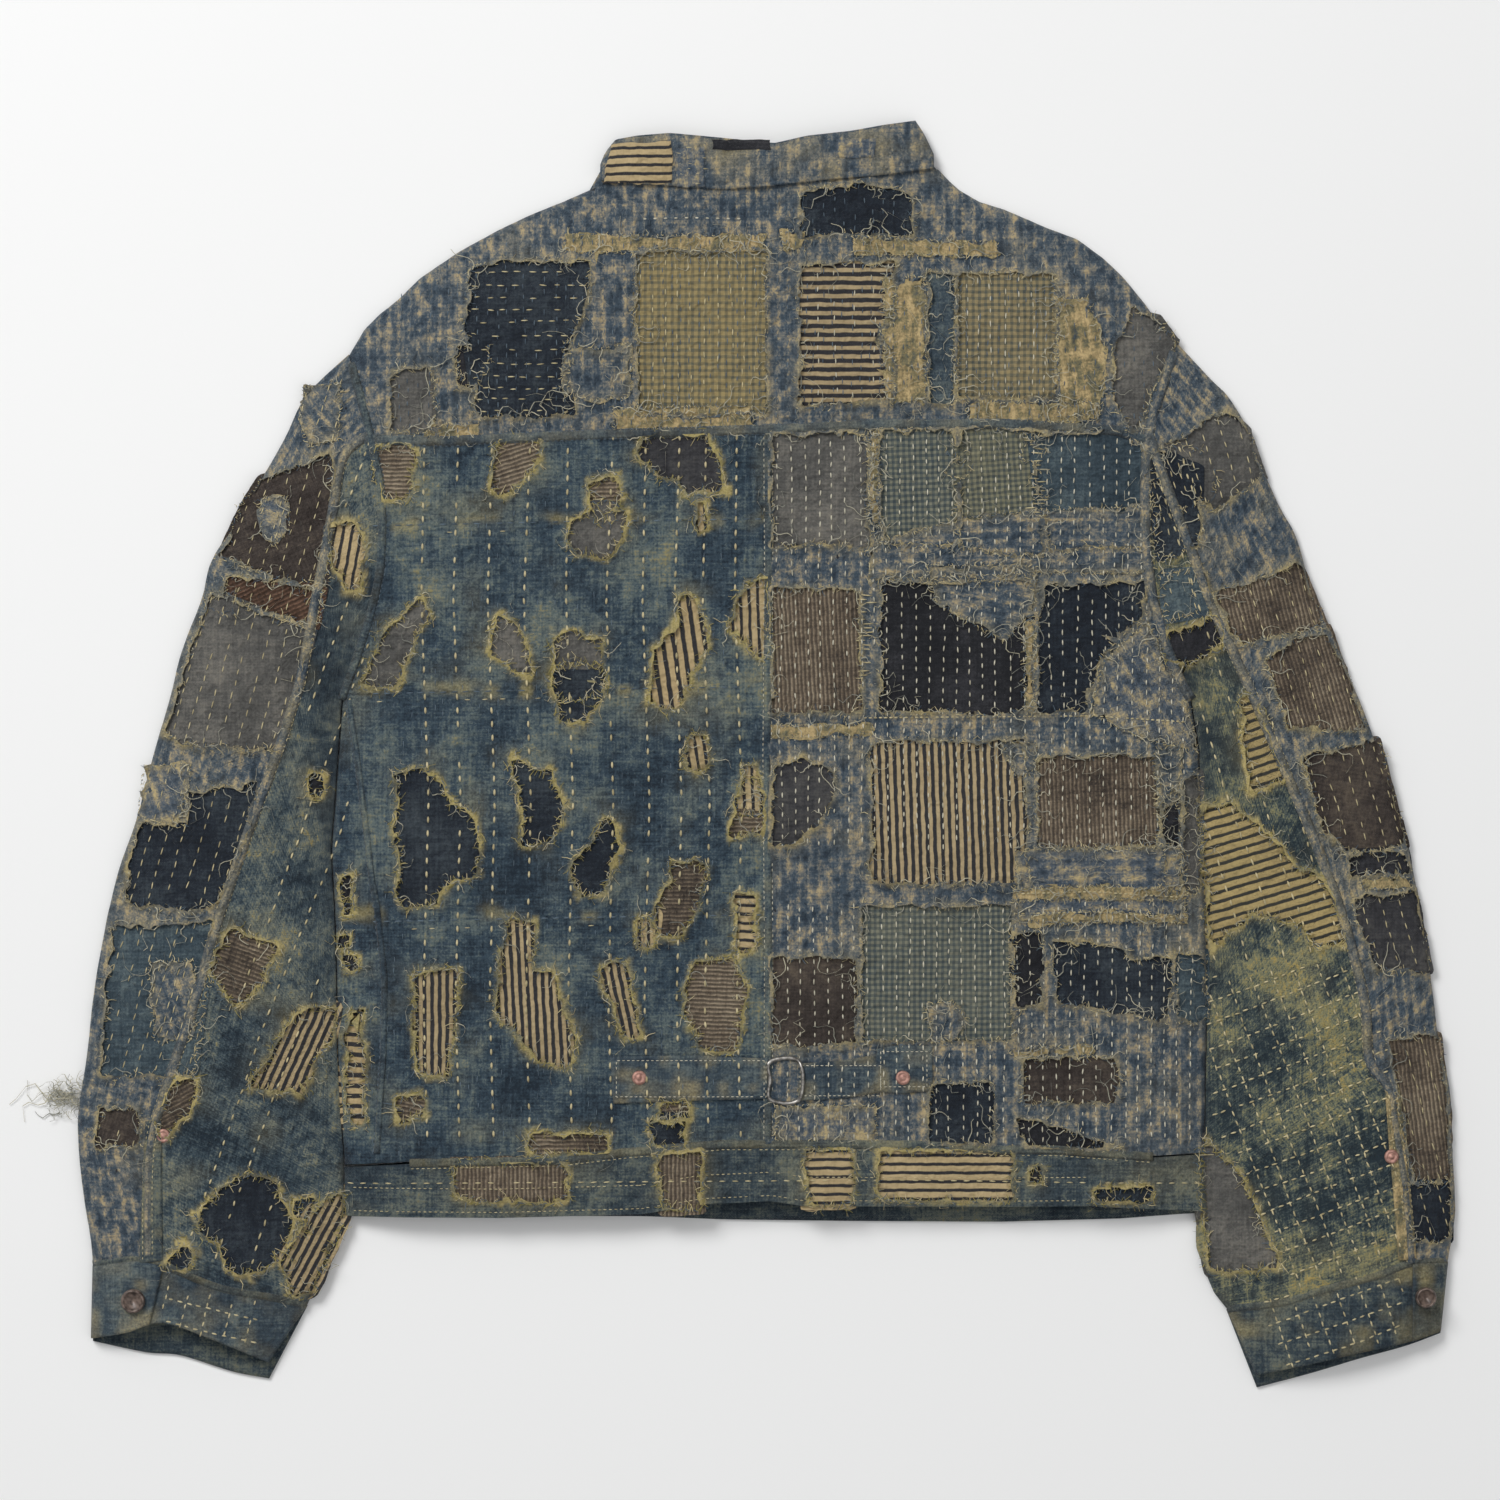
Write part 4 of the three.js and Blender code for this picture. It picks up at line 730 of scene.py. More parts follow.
def cuffPlace(seam, edge, last=1.0):
    top, bottom = rounded(seam), rounded(edge)

    def place(u, v):
        w = last * u
        a, b = along(bottom, w), along(top, w) - [0, 0.8]
        p = a + (b - a) * v[:, None]
        return p, p.copy()
    return place


def region(*rows):
    return [dict(cloth=cloth, angle=angle, line=fromPhoto(line)) for cloth, angle, line in rows]


def box(x0, x1, y0, y1):
    return [(x0, y0), (x1, y0), (x1, y1), (x0, y1)]


# holes in the torn left back, with the cloth that shows through each; outlines in photo pixels
holesBackLeft = region(
    ("brownRib", 90, [(376, 449), (398, 446), (416, 452), (414, 486), (409, 503), (384, 500), (377, 478)]),
    ("brownRib", 108, [(505, 440), (543, 438), (538, 462), (524, 482), (507, 495), (490, 488), (495, 462)]),
    ("brownRib", 92, [(590, 480), (618, 476), (623, 497), (612, 514), (592, 513), (588, 497)]),
    ("greyCloth", 0, [(574, 520), (600, 511), (628, 514), (622, 540), (604, 559), (578, 555), (570, 538)]),
    ("charcoalCloth", 0, [(640, 438), (707, 435), (723, 476), (726, 495), (685, 495), (679, 483), (637, 460)]),
    ("creamStripe", 4, [(694, 504), (707, 501), (709, 527), (699, 531)]),
    ("greyCloth", 0, [(424, 595), (431, 617), (417, 637), (398, 688), (366, 684), (382, 637), (398, 624)]),
    ("greyCloth", 0, [(502, 617), (516, 624), (532, 652), (529, 678), (506, 665), (490, 649)]),
    ("greyCloth", 0, [(556, 640), (578, 634), (604, 641), (607, 684), (555, 686)]),
    ("navyCloth", 0, [(555, 680), (607, 678), (602, 704), (584, 722), (560, 719)]),
    ("wideStripe", 8, [(679, 595), (698, 598), (710, 633), (704, 656), (688, 681), (675, 713), (647, 703),
                       (656, 649), (675, 630)]),
    ("creamStripe", 2, [(746, 582), (768, 582), (768, 659), (755, 656), (730, 627)]),
    ("creamStripe", 10, [(688, 738), (706, 735), (710, 762), (698, 772), (684, 764)]),
    ("navyCloth", 0, [(398, 777), (420, 766), (436, 777), (452, 802), (475, 821), (482, 841), (478, 873), (446, 885),
                      (439, 906), (404, 904), (400, 892), (404, 860), (398, 831)]),
    ("navyCloth", 0, [(514, 755), (529, 769), (548, 770), (556, 786), (565, 802), (564, 821), (551, 842), (526, 844),
                      (526, 809), (519, 780)]),
    ("navyCloth", 0, [(605, 821), (615, 825), (623, 847), (612, 866), (605, 895), (581, 895), (572, 863),
                      (592, 844)]),
    ("brownRib", 90, [(672, 863), (709, 865), (698, 898), (679, 936), (651, 939), (653, 908), (669, 882)]),
    ("creamStripe", 0, box(639, 653, 914, 946)),
    ("tightStripe", 0, [(414, 972), (459, 968), (457, 1030), (448, 1075), (418, 1072)]),
    ("tightStripe", 3, [(510, 920), (535, 920), (535, 968), (554, 971), (575, 1038), (570, 1068), (545, 1062),
                        (500, 1015), (502, 950)]),
    ("tightStripe", 12, [(605, 965), (628, 962), (640, 1035), (628, 1038), (602, 984)]),
    ("brownRib", 88, [(698, 962), (736, 959), (746, 990), (736, 1048), (704, 1048), (682, 1016), (685, 984)]),
    ("brownRib", 90, [(734, 796), (762, 795), (763, 832), (731, 835)]),
    ("creamStripe", 3, [(744, 766), (758, 762), (761, 800), (741, 800)]),
    ("creamStripe", 88, box(737, 755, 896, 952)),
    ("brownRib", 80, [(396, 1097), (422, 1094), (426, 1113), (398, 1118)]),
    ("brownRib", 90, box(529, 610, 1132, 1152)),
    ("brownRib", 95, [(659, 1101), (686, 1098), (689, 1116), (662, 1120)]),
    ("navyCloth", 0, box(653, 685, 1120, 1145)),
    ("blackCloth", 0, [(343, 878), (352, 876), (353, 905), (346, 917)]),
    ("blackCloth", 0, box(340, 350, 935, 945)),
    ("blackCloth", 0, box(346, 359, 955, 970)),
    ("wideStripe", 88, [(348, 1012), (362, 1010), (366, 1066), (364, 1120), (349, 1122), (347, 1060)]),
)
holesSleeveLeft = region(
    ("creamStripe", -10, [(331, 530), (350, 521), (369, 545), (362, 591), (345, 588), (334, 560)]),
    ("blackCloth", 0, box(312, 325, 774, 796)),
    ("brownRib", 70, [(232, 930), (283, 946), (264, 984), (239, 1006), (213, 971)]),
    ("tightStripe", -24, [(306, 1011), (336, 1008), (331, 1040), (302, 1091), (251, 1088), (283, 1033)]),
    ("brownRib", -62, [(178, 1075), (200, 1078), (200, 1100), (168, 1139), (159, 1119)]),
    ("navyCloth", 0, [(251, 1170), (277, 1180), (283, 1196), (298, 1221), (283, 1257), (251, 1276), (229, 1266),
                      (223, 1241),
                      (207, 1231), (197, 1212), (226, 1183)]),
    ("navyCloth", 0, [(184, 1237), (200, 1250), (188, 1268), (165, 1263)]),
    ("navyCloth", 0, box(296, 315, 1196, 1215)),
    ("tightStripe", -28, [(342, 1190), (344, 1215), (312, 1290), (290, 1296), (283, 1260), (315, 1209)]),
)
holesSleeveRight = region(
    ("blackCloth", 0, [(1164, 633), (1215, 619), (1225, 643), (1190, 665), (1164, 659)]),
    ("oliveStripe", 110, [(1240, 694), (1250, 697), (1282, 777), (1250, 794), (1244, 767)]),
    ("oliveStripe", 107, [(1199, 806), (1231, 802), (1266, 834), (1298, 866), (1324, 879), (1343, 943), (1314, 947),
                          (1298, 924), (1250, 911), (1212, 949), (1206, 879)]),
    ("greyCloth", 0, [(1206, 1139), (1231, 1164), (1266, 1237), (1279, 1266), (1209, 1269), (1200, 1200)]),
)
holesBand = region(
    ("brownRib", 0, box(455, 568, 1161, 1198)),
    ("brownRib", 0, [(655, 1152), (700, 1151), (701, 1206), (664, 1208)]),
    ("creamStripe", 90, [(806, 1147), (850, 1146), (851, 1202), (805, 1203)]),
    ("creamStripe", 90, [(877, 1150), (1009, 1149), (1010, 1197), (876, 1198)]),
    ("blackCloth", 0, box(1031, 1042, 1166, 1180)),
    ("navyCloth", 0, box(1092, 1150, 1186, 1200)),
)

# patches under the veils of the right back, yoke and sleeves, and on the collar
patchesBackRight = region(
    ("greyCloth", 0, [(772, 436), (867, 435), (866, 545), (773, 546)]),
    ("creamCloth", 0, box(869, 878, 432, 524)),
    ("greenPlaid", 2, [(880, 433), (955, 432), (956, 545), (881, 546)]),
    ("oliveCheck", 4, [(957, 430), (1026, 431), (1036, 478), (1040, 556), (960, 548)]),
    ("tealCloth", 0, [(1030, 436), (1122, 434), (1144, 458), (1143, 545), (1050, 550), (1036, 490)]),
    ("kasuri", 90, [(868, 546), (960, 520), (1030, 512), (1146, 508), (1150, 573), (1030, 574), (880, 580),
                    (870, 584)]),
    ("brownRib", 3, [(772, 590), (858, 589), (860, 712), (773, 713)]),
    ("blackCloth", 0, [(880, 584), (1033, 582), (1031, 712), (880, 713)]),
    ("kasuri", 80, [(926, 566), (1034, 568), (1030, 612), (1004, 640), (968, 622), (936, 604)]),
    ("creamCloth", 0, box(1024, 1032, 622, 713)),
    ("navyCloth", 0, [(1045, 585), (1145, 585), (1139, 614), (1100, 652), (1088, 688), (1084, 710), (1036, 713),
                      (1037, 630)]),
    ("paleKasuri", 30, [(1145, 621), (1164, 665), (1183, 688), (1196, 751), (1140, 738), (1088, 713), (1104, 660)]),
    ("charcoalCloth", 0, [(774, 767), (800, 758), (832, 770), (835, 790), (816, 825), (793, 844), (770, 844)]),
    ("tightStripe", 2, [(871, 743), (1023, 742), (1024, 882), (871, 881)]),
    ("kasuri", 60, [(1000, 742), (1034, 742), (1034, 770), (1016, 778)]),
    ("brownRib", 2, [(1037, 757), (1154, 756), (1155, 846), (1037, 847)]),
    ("kasuri", 90, [(1154, 752), (1178, 745), (1180, 800), (1156, 812)]),
    ("blackCloth", 0, [(1161, 800), (1178, 790), (1181, 890), (1164, 892)]),
    ("greyCloth", 0, [(1182, 776), (1198, 774), (1199, 890), (1182, 891)]),
    ("paleKasuri", 90, [(1014, 848), (1180, 845), (1183, 921), (1018, 921)]),
    ("darkBrown", 0, [(771, 957), (855, 955), (857, 1042), (772, 1045)]),
    ("greenPlaid", 0, [(862, 906), (1009, 905), (1010, 1040), (862, 1039)]),
    ("kasuri", 0, [(926, 1002), (950, 1000), (965, 1018), (958, 1040), (930, 1040)]),
    ("blackCloth", 0, box(1013, 1040, 932, 1005)),
    ("navyCloth", 0, [(1052, 943), (1113, 943), (1132, 959), (1172, 955), (1164, 1019), (1123, 1013), (1056, 1000)]),
    ("tealCloth", 0, box(1175, 1204, 953, 1018)),
    ("darkBrown", 0, [(1021, 1058), (1114, 1056), (1116, 1099), (1023, 1100)]),
    ("navyCloth", 0, [(928, 1083), (990, 1081), (992, 1140), (929, 1141)]),
    ("blackCloth", 0, [(1016, 1115), (1088, 1135), (1121, 1147), (1024, 1143)]),
    ("paleKasuri", 0, [(775, 1104), (876, 1104), (875, 1141), (776, 1140)]),
    ("creamCloth", 0, [(1012, 889), (1100, 886), (1190, 890), (1189, 899), (1100, 897), (1012, 900)]),
    ("creamCloth", 0, [(1030, 914), (1110, 911), (1186, 915), (1184, 922), (1110, 920), (1030, 923)]),
    ("creamCloth", 0, [(768, 727), (870, 724), (872, 734), (770, 738)]),
    ("creamCloth", 0, [(1010, 1048), (1090, 1044), (1092, 1052), (1012, 1057)]),
)
patchesYoke = region(
    ("greyCloth", 0, [(394, 372), (433, 368), (436, 430), (392, 432)]),
    ("blackCloth", 0, box(459, 475, 347, 390)),
    ("navyCloth", 0, [(474, 268), (560, 262), (589, 264), (590, 300), (570, 345), (566, 380), (575, 416),
                      (480, 419), (466, 330)]),
    ("kasuri", 0, [(566, 345), (600, 352), (632, 345), (630, 398), (596, 402), (562, 396)]),
    ("tanCheck", 0, [(638, 255), (767, 253), (767, 415), (640, 416)]),
    ("navyStripe", 90, [(801, 268), (893, 266), (893, 321), (878, 330), (876, 350), (892, 354), (893, 405),
                        (800, 406)]),
    ("creamCloth", 0, box(884, 924, 280, 404)),
    ("blueCloth", 0, box(928, 953, 278, 404)),
    ("smallCheck", 0, [(958, 274), (1052, 276), (1055, 398), (957, 400)]),
    ("creamCloth", 8, [(1056, 300), (1086, 302), (1104, 352), (1100, 416), (1058, 418)]),
    ("greyCloth", 0, [(1130, 311), (1157, 320), (1174, 342), (1131, 440), (1113, 403), (1113, 350)]),
    ("navyCloth", 0, [(803, 190), (862, 188), (913, 196), (911, 236), (802, 238)]),
    ("creamCloth", 0, [(566, 236), (640, 238), (764, 238), (763, 252), (640, 254), (566, 253)]),
    ("creamCloth", 0, box(782, 804, 234, 252)),
    ("creamCloth", 0, [(853, 241), (995, 244), (996, 257), (854, 257)]),
    ("creamCloth", 0, [(614, 410), (752, 408), (753, 430), (616, 432)]),
    ("creamCloth", 0, box(429, 479, 426, 441)),
    ("creamCloth", 0, [(967, 404), (1098, 405), (1096, 422), (968, 424)]),
)
patchesCollar = region(
    ("creamStripe", 90, [(612, 146), (672, 143), (673, 186), (603, 186)]),
    ("paleKasuri", 0, box(676, 705, 150, 190)),
    ("blackCloth", 0, box(712, 770, 142, 152)),
    ("paleKasuri", 0, box(836, 874, 142, 160)),
)
patchesSleeveLeft = region(
    ("kasuri", 40, [(306, 388), (342, 384), (340, 440), (312, 448), (300, 420)]),
    ("darkBrown", 25, [(262, 480), (331, 454), (336, 466), (325, 597), (250, 566), (222, 556), (246, 505)]),
    ("paleKasuri", 70, [(262, 500), (288, 498), (292, 530), (274, 546), (262, 530)]),
    ("redBrown", 115, [(230, 578), (325, 590), (318, 626), (222, 600)]),
    ("greyCloth", 0, [(212, 592), (314, 634), (302, 681), (281, 750), (198, 747), (166, 733)]),
    ("paleKasuri", 20, [(146, 766), (192, 764), (188, 824), (138, 822)]),
    ("navyCloth", 0, [(190, 794), (257, 785), (250, 831), (219, 903), (198, 910), (124, 903), (141, 823),
                      (178, 826)]),
    ("tealCloth", 0, [(116, 924), (213, 922), (206, 1000), (196, 1073), (104, 1072), (108, 980)]),
    ("kasuri", 20, [(152, 962), (198, 960), (196, 1036), (158, 1040)]),
    ("darkBrown", 70, [(102, 1108), (142, 1107), (140, 1144), (100, 1145)]),
)
patchesSleeveRight = region(
    ("greyCloth", 0, [(1164, 449), (1227, 412), (1246, 432), (1262, 478), (1213, 510), (1178, 492)]),
    ("brownRib", 14, [(1213, 596), (1297, 564), (1323, 626), (1238, 645)]),
    ("brownRib", 16, [(1264, 657), (1326, 628), (1364, 730), (1286, 728)]),
    ("darkBrown", 80, [(1300, 757), (1375, 741), (1404, 846), (1343, 852), (1322, 831)]),
    ("blackCloth", 0, [(1344, 854), (1404, 850), (1408, 872), (1348, 875)]),
    ("creamCloth", 0, [(1358, 877), (1406, 876), (1410, 888), (1360, 888)]),
    ("charcoalCloth", 0, [(1348, 897), (1412, 890), (1428, 970), (1372, 970)]),
    ("brownRib", 8, [(1384, 1038), (1436, 1036), (1446, 1110), (1448, 1178), (1412, 1178)]),
    ("navyCloth", 0, [(1404, 1184), (1448, 1182), (1448, 1238), (1410, 1240)]),
    ("navyCloth", 0, [(1147, 450), (1198, 470), (1196, 545), (1158, 558)]),
    ("tealCloth", 10, [(1162, 574), (1204, 572), (1206, 612), (1164, 620)]),
)
patchThick = 0.55    # mm that a patch adds to the cloth under it
grainShift = 13.7    # mm between the weaves of one patch and the next


def addPatch(bm, slots, patch, seed, lift=0.35, grow=0.0, rough=0.5, spacing=3.4, wornEdge=0.0):
    line = patch["line"]
    low, high = line.min(0) - 3 - grow, line.max(0) + 3 + grow
    turn = math.radians(patch["angle"])
    soft = softened(layerMap)

    def place(u, v):
        p = low + (high - low) * np.stack([u, v], -1)
        return p, turnedGrain(p, turn) + seed * grainShift

    def keep(x, y):
        return depthIn(x, y, line) + grow + rough * ripple(x, y, 4, seed) + rough * 0.8 * ripple(x, y, 11, seed + 3)

    def height(x, y):
        edge = np.clip(1 - keep(x, y) / 2.5, 0, 1)
        return heightAt(x, y) + mapAt(x, y, soft) + lift + patchThick + 0.25 * edge * ripple(x, y, 5, seed + 5)

    def wear(x, y):
        return wornEdge * np.exp(-np.maximum(keep(x, y), 0) / 2.2)
    nu, nv = (np.ceil((high - low) / spacing)).astype(int)
    if patch["cloth"] not in slots:
        slots.append(patch["cloth"])
    addSheet(bm, place, max(3, nu), max(3, nv), height, slots.index(patch["cloth"]), wear, keep)
    window = mapWindow(low, high)
    there = depthIn(gridX[window], gridY[window], line) + grow > 0
    layerMap[window] = np.where(there, soft[window] + lift + patchThick, layerMap[window])


def patchwork(name, patches, **choices):
    bm, slots = bmesh.new(), []
    for k, patch in enumerate(patches):
        addPatch(bm, slots, patch, k + 1, **choices)
    return clothPiece(name, bm, slots, 0)


def holeDepth(holes, seed, rough=1.7):
    def depth(x, y):
        d = np.full(np.shape(x), 60.0)
        for hole in holes:
            line = hole["line"]
            low, high = line.min(0) - 30, line.max(0) + 30
            near = (x > low[0]) & (x < high[0]) & (y > low[1]) & (y < high[1])
            if near.any():
                d[near] = np.minimum(d[near], -depthIn(x[near], y[near], line))
        return d + rough * (ripple(x, y, 4.5, seed) + 0.9 * ripple(x, y, 11, seed + 1)
                            + 0.5 * ripple(x, y, 2.4, seed + 4))
    return depth


def tornWear(depth, seed, near=1.9, far=0.26, reach=6.5, bands=()):
    # bleached threads at the tear, and a patchy halo that runs on into the cloth
    def wear(x, y):
        d = np.maximum(depth(x, y), 0)
        patchy = np.clip(0.1 + 1.5 * ripple(x, y, 17, seed + 2), 0, 1.5)
        ring = np.clip(0.75 + 0.7 * ripple(x, y, 9, seed + 8), 0.15, 1.3)
        blot = np.clip(ripple(x, y, 26, seed + 6) - 0.35, 0, 1) * 0.9
        for level in bands:
            row = np.exp(-((y - level + 3 * ripple(x, y, 30, seed + 9)) / 4.5) ** 2)
            blot = blot + 0.5 * row * np.clip(1.9 * ripple(x, y, 10, seed + 11) - 0.1, 0, 1.2) / max(far, 0.1)
        return np.clip(near * ring * np.exp(-(d / 1.9) ** 2) + far * np.exp(-d / reach) * patchy + blot * far, 0, 1.3)
    return wear


def shell(name, sheets, slots, thickness, lift=0.0, pucker=0.0):
    # sheets: place, divisions across and along, keep, wear, faces down, height
    bm = bmesh.new()
    for s in sheets:
        soft = softened(layerMap)
        keep = s.get("keep")

        def draped(x, y):
            waves = np.sin(x * 0.7 + 1.5 * ripple(x, y, 30, 19))
            folded = pucker * (ripple(x, y, 4.4, 17) + 0.7 * ripple(x, y, 9, 18) + 0.5 * waves)
            curl = (1.3 + 0.9 * ripple(x, y, 13, 33)) * np.exp(-np.maximum(keep(x, y), 0) / 1.8) if keep else 0
            return heightAt(x, y) + mapAt(x, y, soft) + lift + folded + curl
        addSheet(bm, s["place"], *s["parts"], s.get("height") or draped, s.get("slot", 0), s.get("wear"), keep,
                 s.get("down", False))
    return clothPiece(name, bm, slots, thickness)


def flatOn(level):
    return lambda x, y: np.full(np.shape(x), float(level))


# body, base layer
baseThick = 1.4


def lowerLayer(place, parts, slot=0):
    # cloth that lies flat on the floor, its outside down
    return dict(place=place, parts=parts, down=True, height=flatOn(0), slot=slot)


for name, place, parts in (("backLeftBase", bodyPlace(-1), (40, 68)), ("backRightBase", bodyPlace(1), (40, 68)),
                           ("yokeBase", yokePlace, (80, 28))):
    shell(name, [dict(place=place, parts=parts)], ["lining"], baseThick)
for label, s in (("Left", sleeveLeft), ("Right", sleeveRight)):
    for panel, parts, cloth in (("outer", (22, 84), "kasuri"), ("under", (22, 76), "sleeveIndigo")):
        shell("sleeve" + label + panel.capitalize() + "Base",
              [dict(place=s[panel + "Top"], parts=parts), lowerLayer(s[panel + "Low"], (10, 42), 1)],
              ["lining", cloth], baseThick)
shell("waistCloth", [dict(place=bandPlace(backHem), parts=(150, 12)), lowerLayer(bandPlace(frontHem), (80, 5), 1)],
      ["lining", "bandIndigo"], 1.6)
print("base cloth laid")


def outlineOf(place):
    t = np.linspace(0, 1, 60)
    zero, one, back = np.zeros(60), np.ones(60), t[::-1]
    return np.vstack([place(t, zero)[0], place(one, t)[0], place(back, one)[0], place(zero, back)[0]])


def raiseMap(place, thick, keep=None):
    # the cloth that has just been laid lifts what comes after it
    line = outlineOf(place)
    low, high = line.min(0) - 2, line.max(0) + 2
    window = mapWindow(low, high)
    x, y = gridX[window], gridY[window]
    there = insideOf(x, y, line)
    if keep is not None:
        there &= keep(x.ravel(), y.ravel()).reshape(x.shape) > 0
    layerMap[window] += thick * there


def tornShell(name, place, parts, holes, seed, cloth, lift=1.2, rough=1.7, pucker=0.28, **wearing):
    # one layer of torn cloth, too thin at its edges to show a wall
    depth = holeDepth(holes, seed, rough)
    worn = tornWear(depth, seed, **wearing)
    piece = shell(name, [dict(place=place, parts=parts, keep=depth, wear=worn)], [cloth], 0, lift, pucker)
    raiseMap(place, lift, depth)
    return piece, depth


# torn cloth over the patches that show through its holes
coverParts = dict(backLeft=(124, 206), backRight=(120, 212), yoke=(240, 84), sleeve=(62, 230), outer=(56, 250),
                  band=(250, 18))
paleRows = fromPhoto([(0, 524), (0, 688), (0, 914)])[:, 1]
underHoles = dict(lift=0.15, spacing=4.0)
backLeftPatches = patchwork("backLeftPatches", holesBackLeft, grow=6.0, **underHoles)
backLeftTorn, depthBackLeft = tornShell("backLeftTorn", bodyPlace(-1), coverParts["backLeft"], holesBackLeft, 1,
                                        "wornIndigo", bands=paleRows)
sleeveLeftUnderPatches = patchwork("sleeveLeftUnderPatches", holesSleeveLeft, grow=5.0, **underHoles)
sleeveLeftTorn, depthSleeveLeft = tornShell("sleeveLeftTorn", sleeveLeft["underTop"], coverParts["sleeve"],
                                            holesSleeveLeft, 4, "sleeveIndigo")
sleeveRightUnderPatches = patchwork("sleeveRightUnderPatches", holesSleeveRight, grow=5.0, **underHoles)
sleeveRightTorn, depthSleeveRight = tornShell("sleeveRightTorn", sleeveRight["underTop"], coverParts["sleeve"],
                                              holesSleeveRight, 7, "oliveIndigo")
bandPatches = patchwork("bandPatches", holesBand, grow=4.0, **underHoles)
bandTorn, depthBand = tornShell("bandTorn", bandPlace(backHem), coverParts["band"], holesBand, 10, "bandIndigo")
print("torn cloth laid")

# kasuri veils over the patchwork: the veil is torn open at each patch, and its tongues lie over some of them
veilKinds = ("kasuri", "paleKasuri", "creamCloth")
veilPieces, openPatches = {}, {}


def veil(label, place, parts, patches, seed):
    under = [p for p in patches if p["cloth"] not in veilKinds]
    tongues = [p for p in patches if p["cloth"] in veilKinds]
    below = patchwork(label + "Patches", under, lift=0.1, grow=3.0, rough=0.3)
    cover, depth = tornShell(label + "Veil", place, parts, under, seed, "kasuri", lift=1.0, rough=1.5, pucker=0.6,
                             near=0.75, far=0.25, reach=5.0)
    patchwork(label + "Tongues", tongues, lift=0.3, rough=1.9, spacing=2.6, wornEdge=0.6)
    veilPieces[label] = (below, cover)
    openPatches[label] = (under, tongues, depth)


veil("backRight", bodyPlace(1), coverParts["backRight"], patchesBackRight, 13)
veil("yoke", yokePlace, coverParts["yoke"], patchesYoke, 15)
veil("sleeveLeftOuter", sleeveLeft["outerTop"], coverParts["outer"], patchesSleeveLeft, 17)
veil("sleeveRightOuter", sleeveRight["outerTop"], coverParts["outer"], patchesSleeveRight, 19)
print("veils laid over the patches")


# seams: folded edges that stand a little proud
def stripPlace(line, width):
    line = np.asarray(line, float)
    length = lineSteps(line)[-1]

    def place(u, v):
        p = along(line, v)
        d = directionAt(line, v)
        d /= np.maximum(np.hypot(*d.T), 1e-9)[:, None]
        p = p + (u - 0.5)[:, None] * width * np.stack([d[:, 1], -d[:, 0]], -1)
        return p, np.stack([(u - 0.5) * width, v * length], -1)
    return place, length


def addStrip(bm, slots, line, cloth, width, rise, seed, wearBase):
    place, length = stripPlace(line, width)
    soft = softened(layerMap)
    middle = np.asarray(line, float)

    def height(x, y):
        d = lineDistance(x, y, middle) / (width / 2)
        crown = np.sqrt(np.clip(1 - d ** 4, 0, 1))
        return heightAt(x, y) + mapAt(x, y, soft) + 0.25 + rise * crown * (1 + 0.2 * ripple(x, y, 6, seed))

    def wear(x, y):
        return wearBase * (0.8 + 0.8 * ripple(x, y, 9, seed + 2))
    if cloth not in slots:
        slots.append(cloth)
    addSheet(bm, place, 4, max(4, int(length / 3.0)), height, slots.index(cloth), wear)


centreSeam = [(0.6, 202), (1, 120), (0, 0), (1, -120), (0.6, -242)]
stripLine = [(x, y) for x, y in stripSeam if y >= -252]
seamTable = [
    # line, cloth, width, rise, wear
    (yokeSeam, "blueCloth", 6.5, 1.2, 0.2),
    (centreSeam, "wornIndigo", 5.0, 1.0, 0.12),
    (stripLine, "wornIndigo", 4.0, 0.9, 0.05),
    (waistSeam[1:-1], "bandIndigo", 5.5, 1.0, 0.2),
    (sleeveLeft["seam"], "kasuri", 6.5, 1.2, 0.3),
    (sleeveRight["seam"], "kasuri", 6.5, 1.2, 0.3),
    (sleeveLeft["arm"][1:], "wornIndigo", 5.5, 1.2, 0.08),
    (sleeveRight["arm"][1:], "kasuri", 6.5, 1.3, 0.15),
    (rounded(cuffSeamLeft), "bandIndigo", 5.0, 1.0, 0.2),
    (rounded(cuffSeamRight), "bandIndigo", 5.0, 1.0, 0.2),
]
bm, slots = bmesh.new(), []
for k, (line, cloth, width, rise, worn) in enumerate(seamTable):
    addStrip(bm, slots, line, cloth, width, rise, k + 1, worn)
clothPiece("seams", bm, slots, 0.6)
print("seams folded")

# fronts, flat on the floor, with the closing edges over each other
def wearOf(base, amount, size, seed):
    return lambda x, y: base + amount * ripple(x, y, size, seed)


frontCut = dict(collarPoint=62.0, pointY=236.0, meetY=300.0, lap=15.0, overLift=1.6, underLift=4.1)


def frontTop(x):
    c = frontCut
    side = np.abs(x)
    t = (112 - side) / (112 - c["collarPoint"])
    shoulder = at(topLine, np.sign(x) * 112)
    low = shoulder + (c["pointY"] - shoulder) * t
    inner = c["pointY"] + (c["meetY"] - c["pointY"]) * np.clip((c["collarPoint"] - side) / c["collarPoint"], 0, 1)
    return np.where(side >= 112, at(topLine, x), np.where(side >= c["collarPoint"], low, inner))


def frontPlace(side):
    edge = sideLeft if side < 0 else sideRight

    def place(u, v):
        y = -252 + 500 * v
        xEdge = sideAt(edge, y) - side * 0.6
        x = xEdge + (-side * frontCut["lap"] - xEdge) * u
        y = y + (1 - v) * (at(waistSeam, x) + 252) + v * (frontTop(x) - 0.6 - 248)
        return np.stack([x, y], -1), np.stack([x, y], -1)
    return place


def frontHeight(side):
    top = frontCut["overLift"] if side < 0 else frontCut["underLift"]
    return lambda x, y: np.interp(-side * x, [-24, -18, 40], [0, top, top])


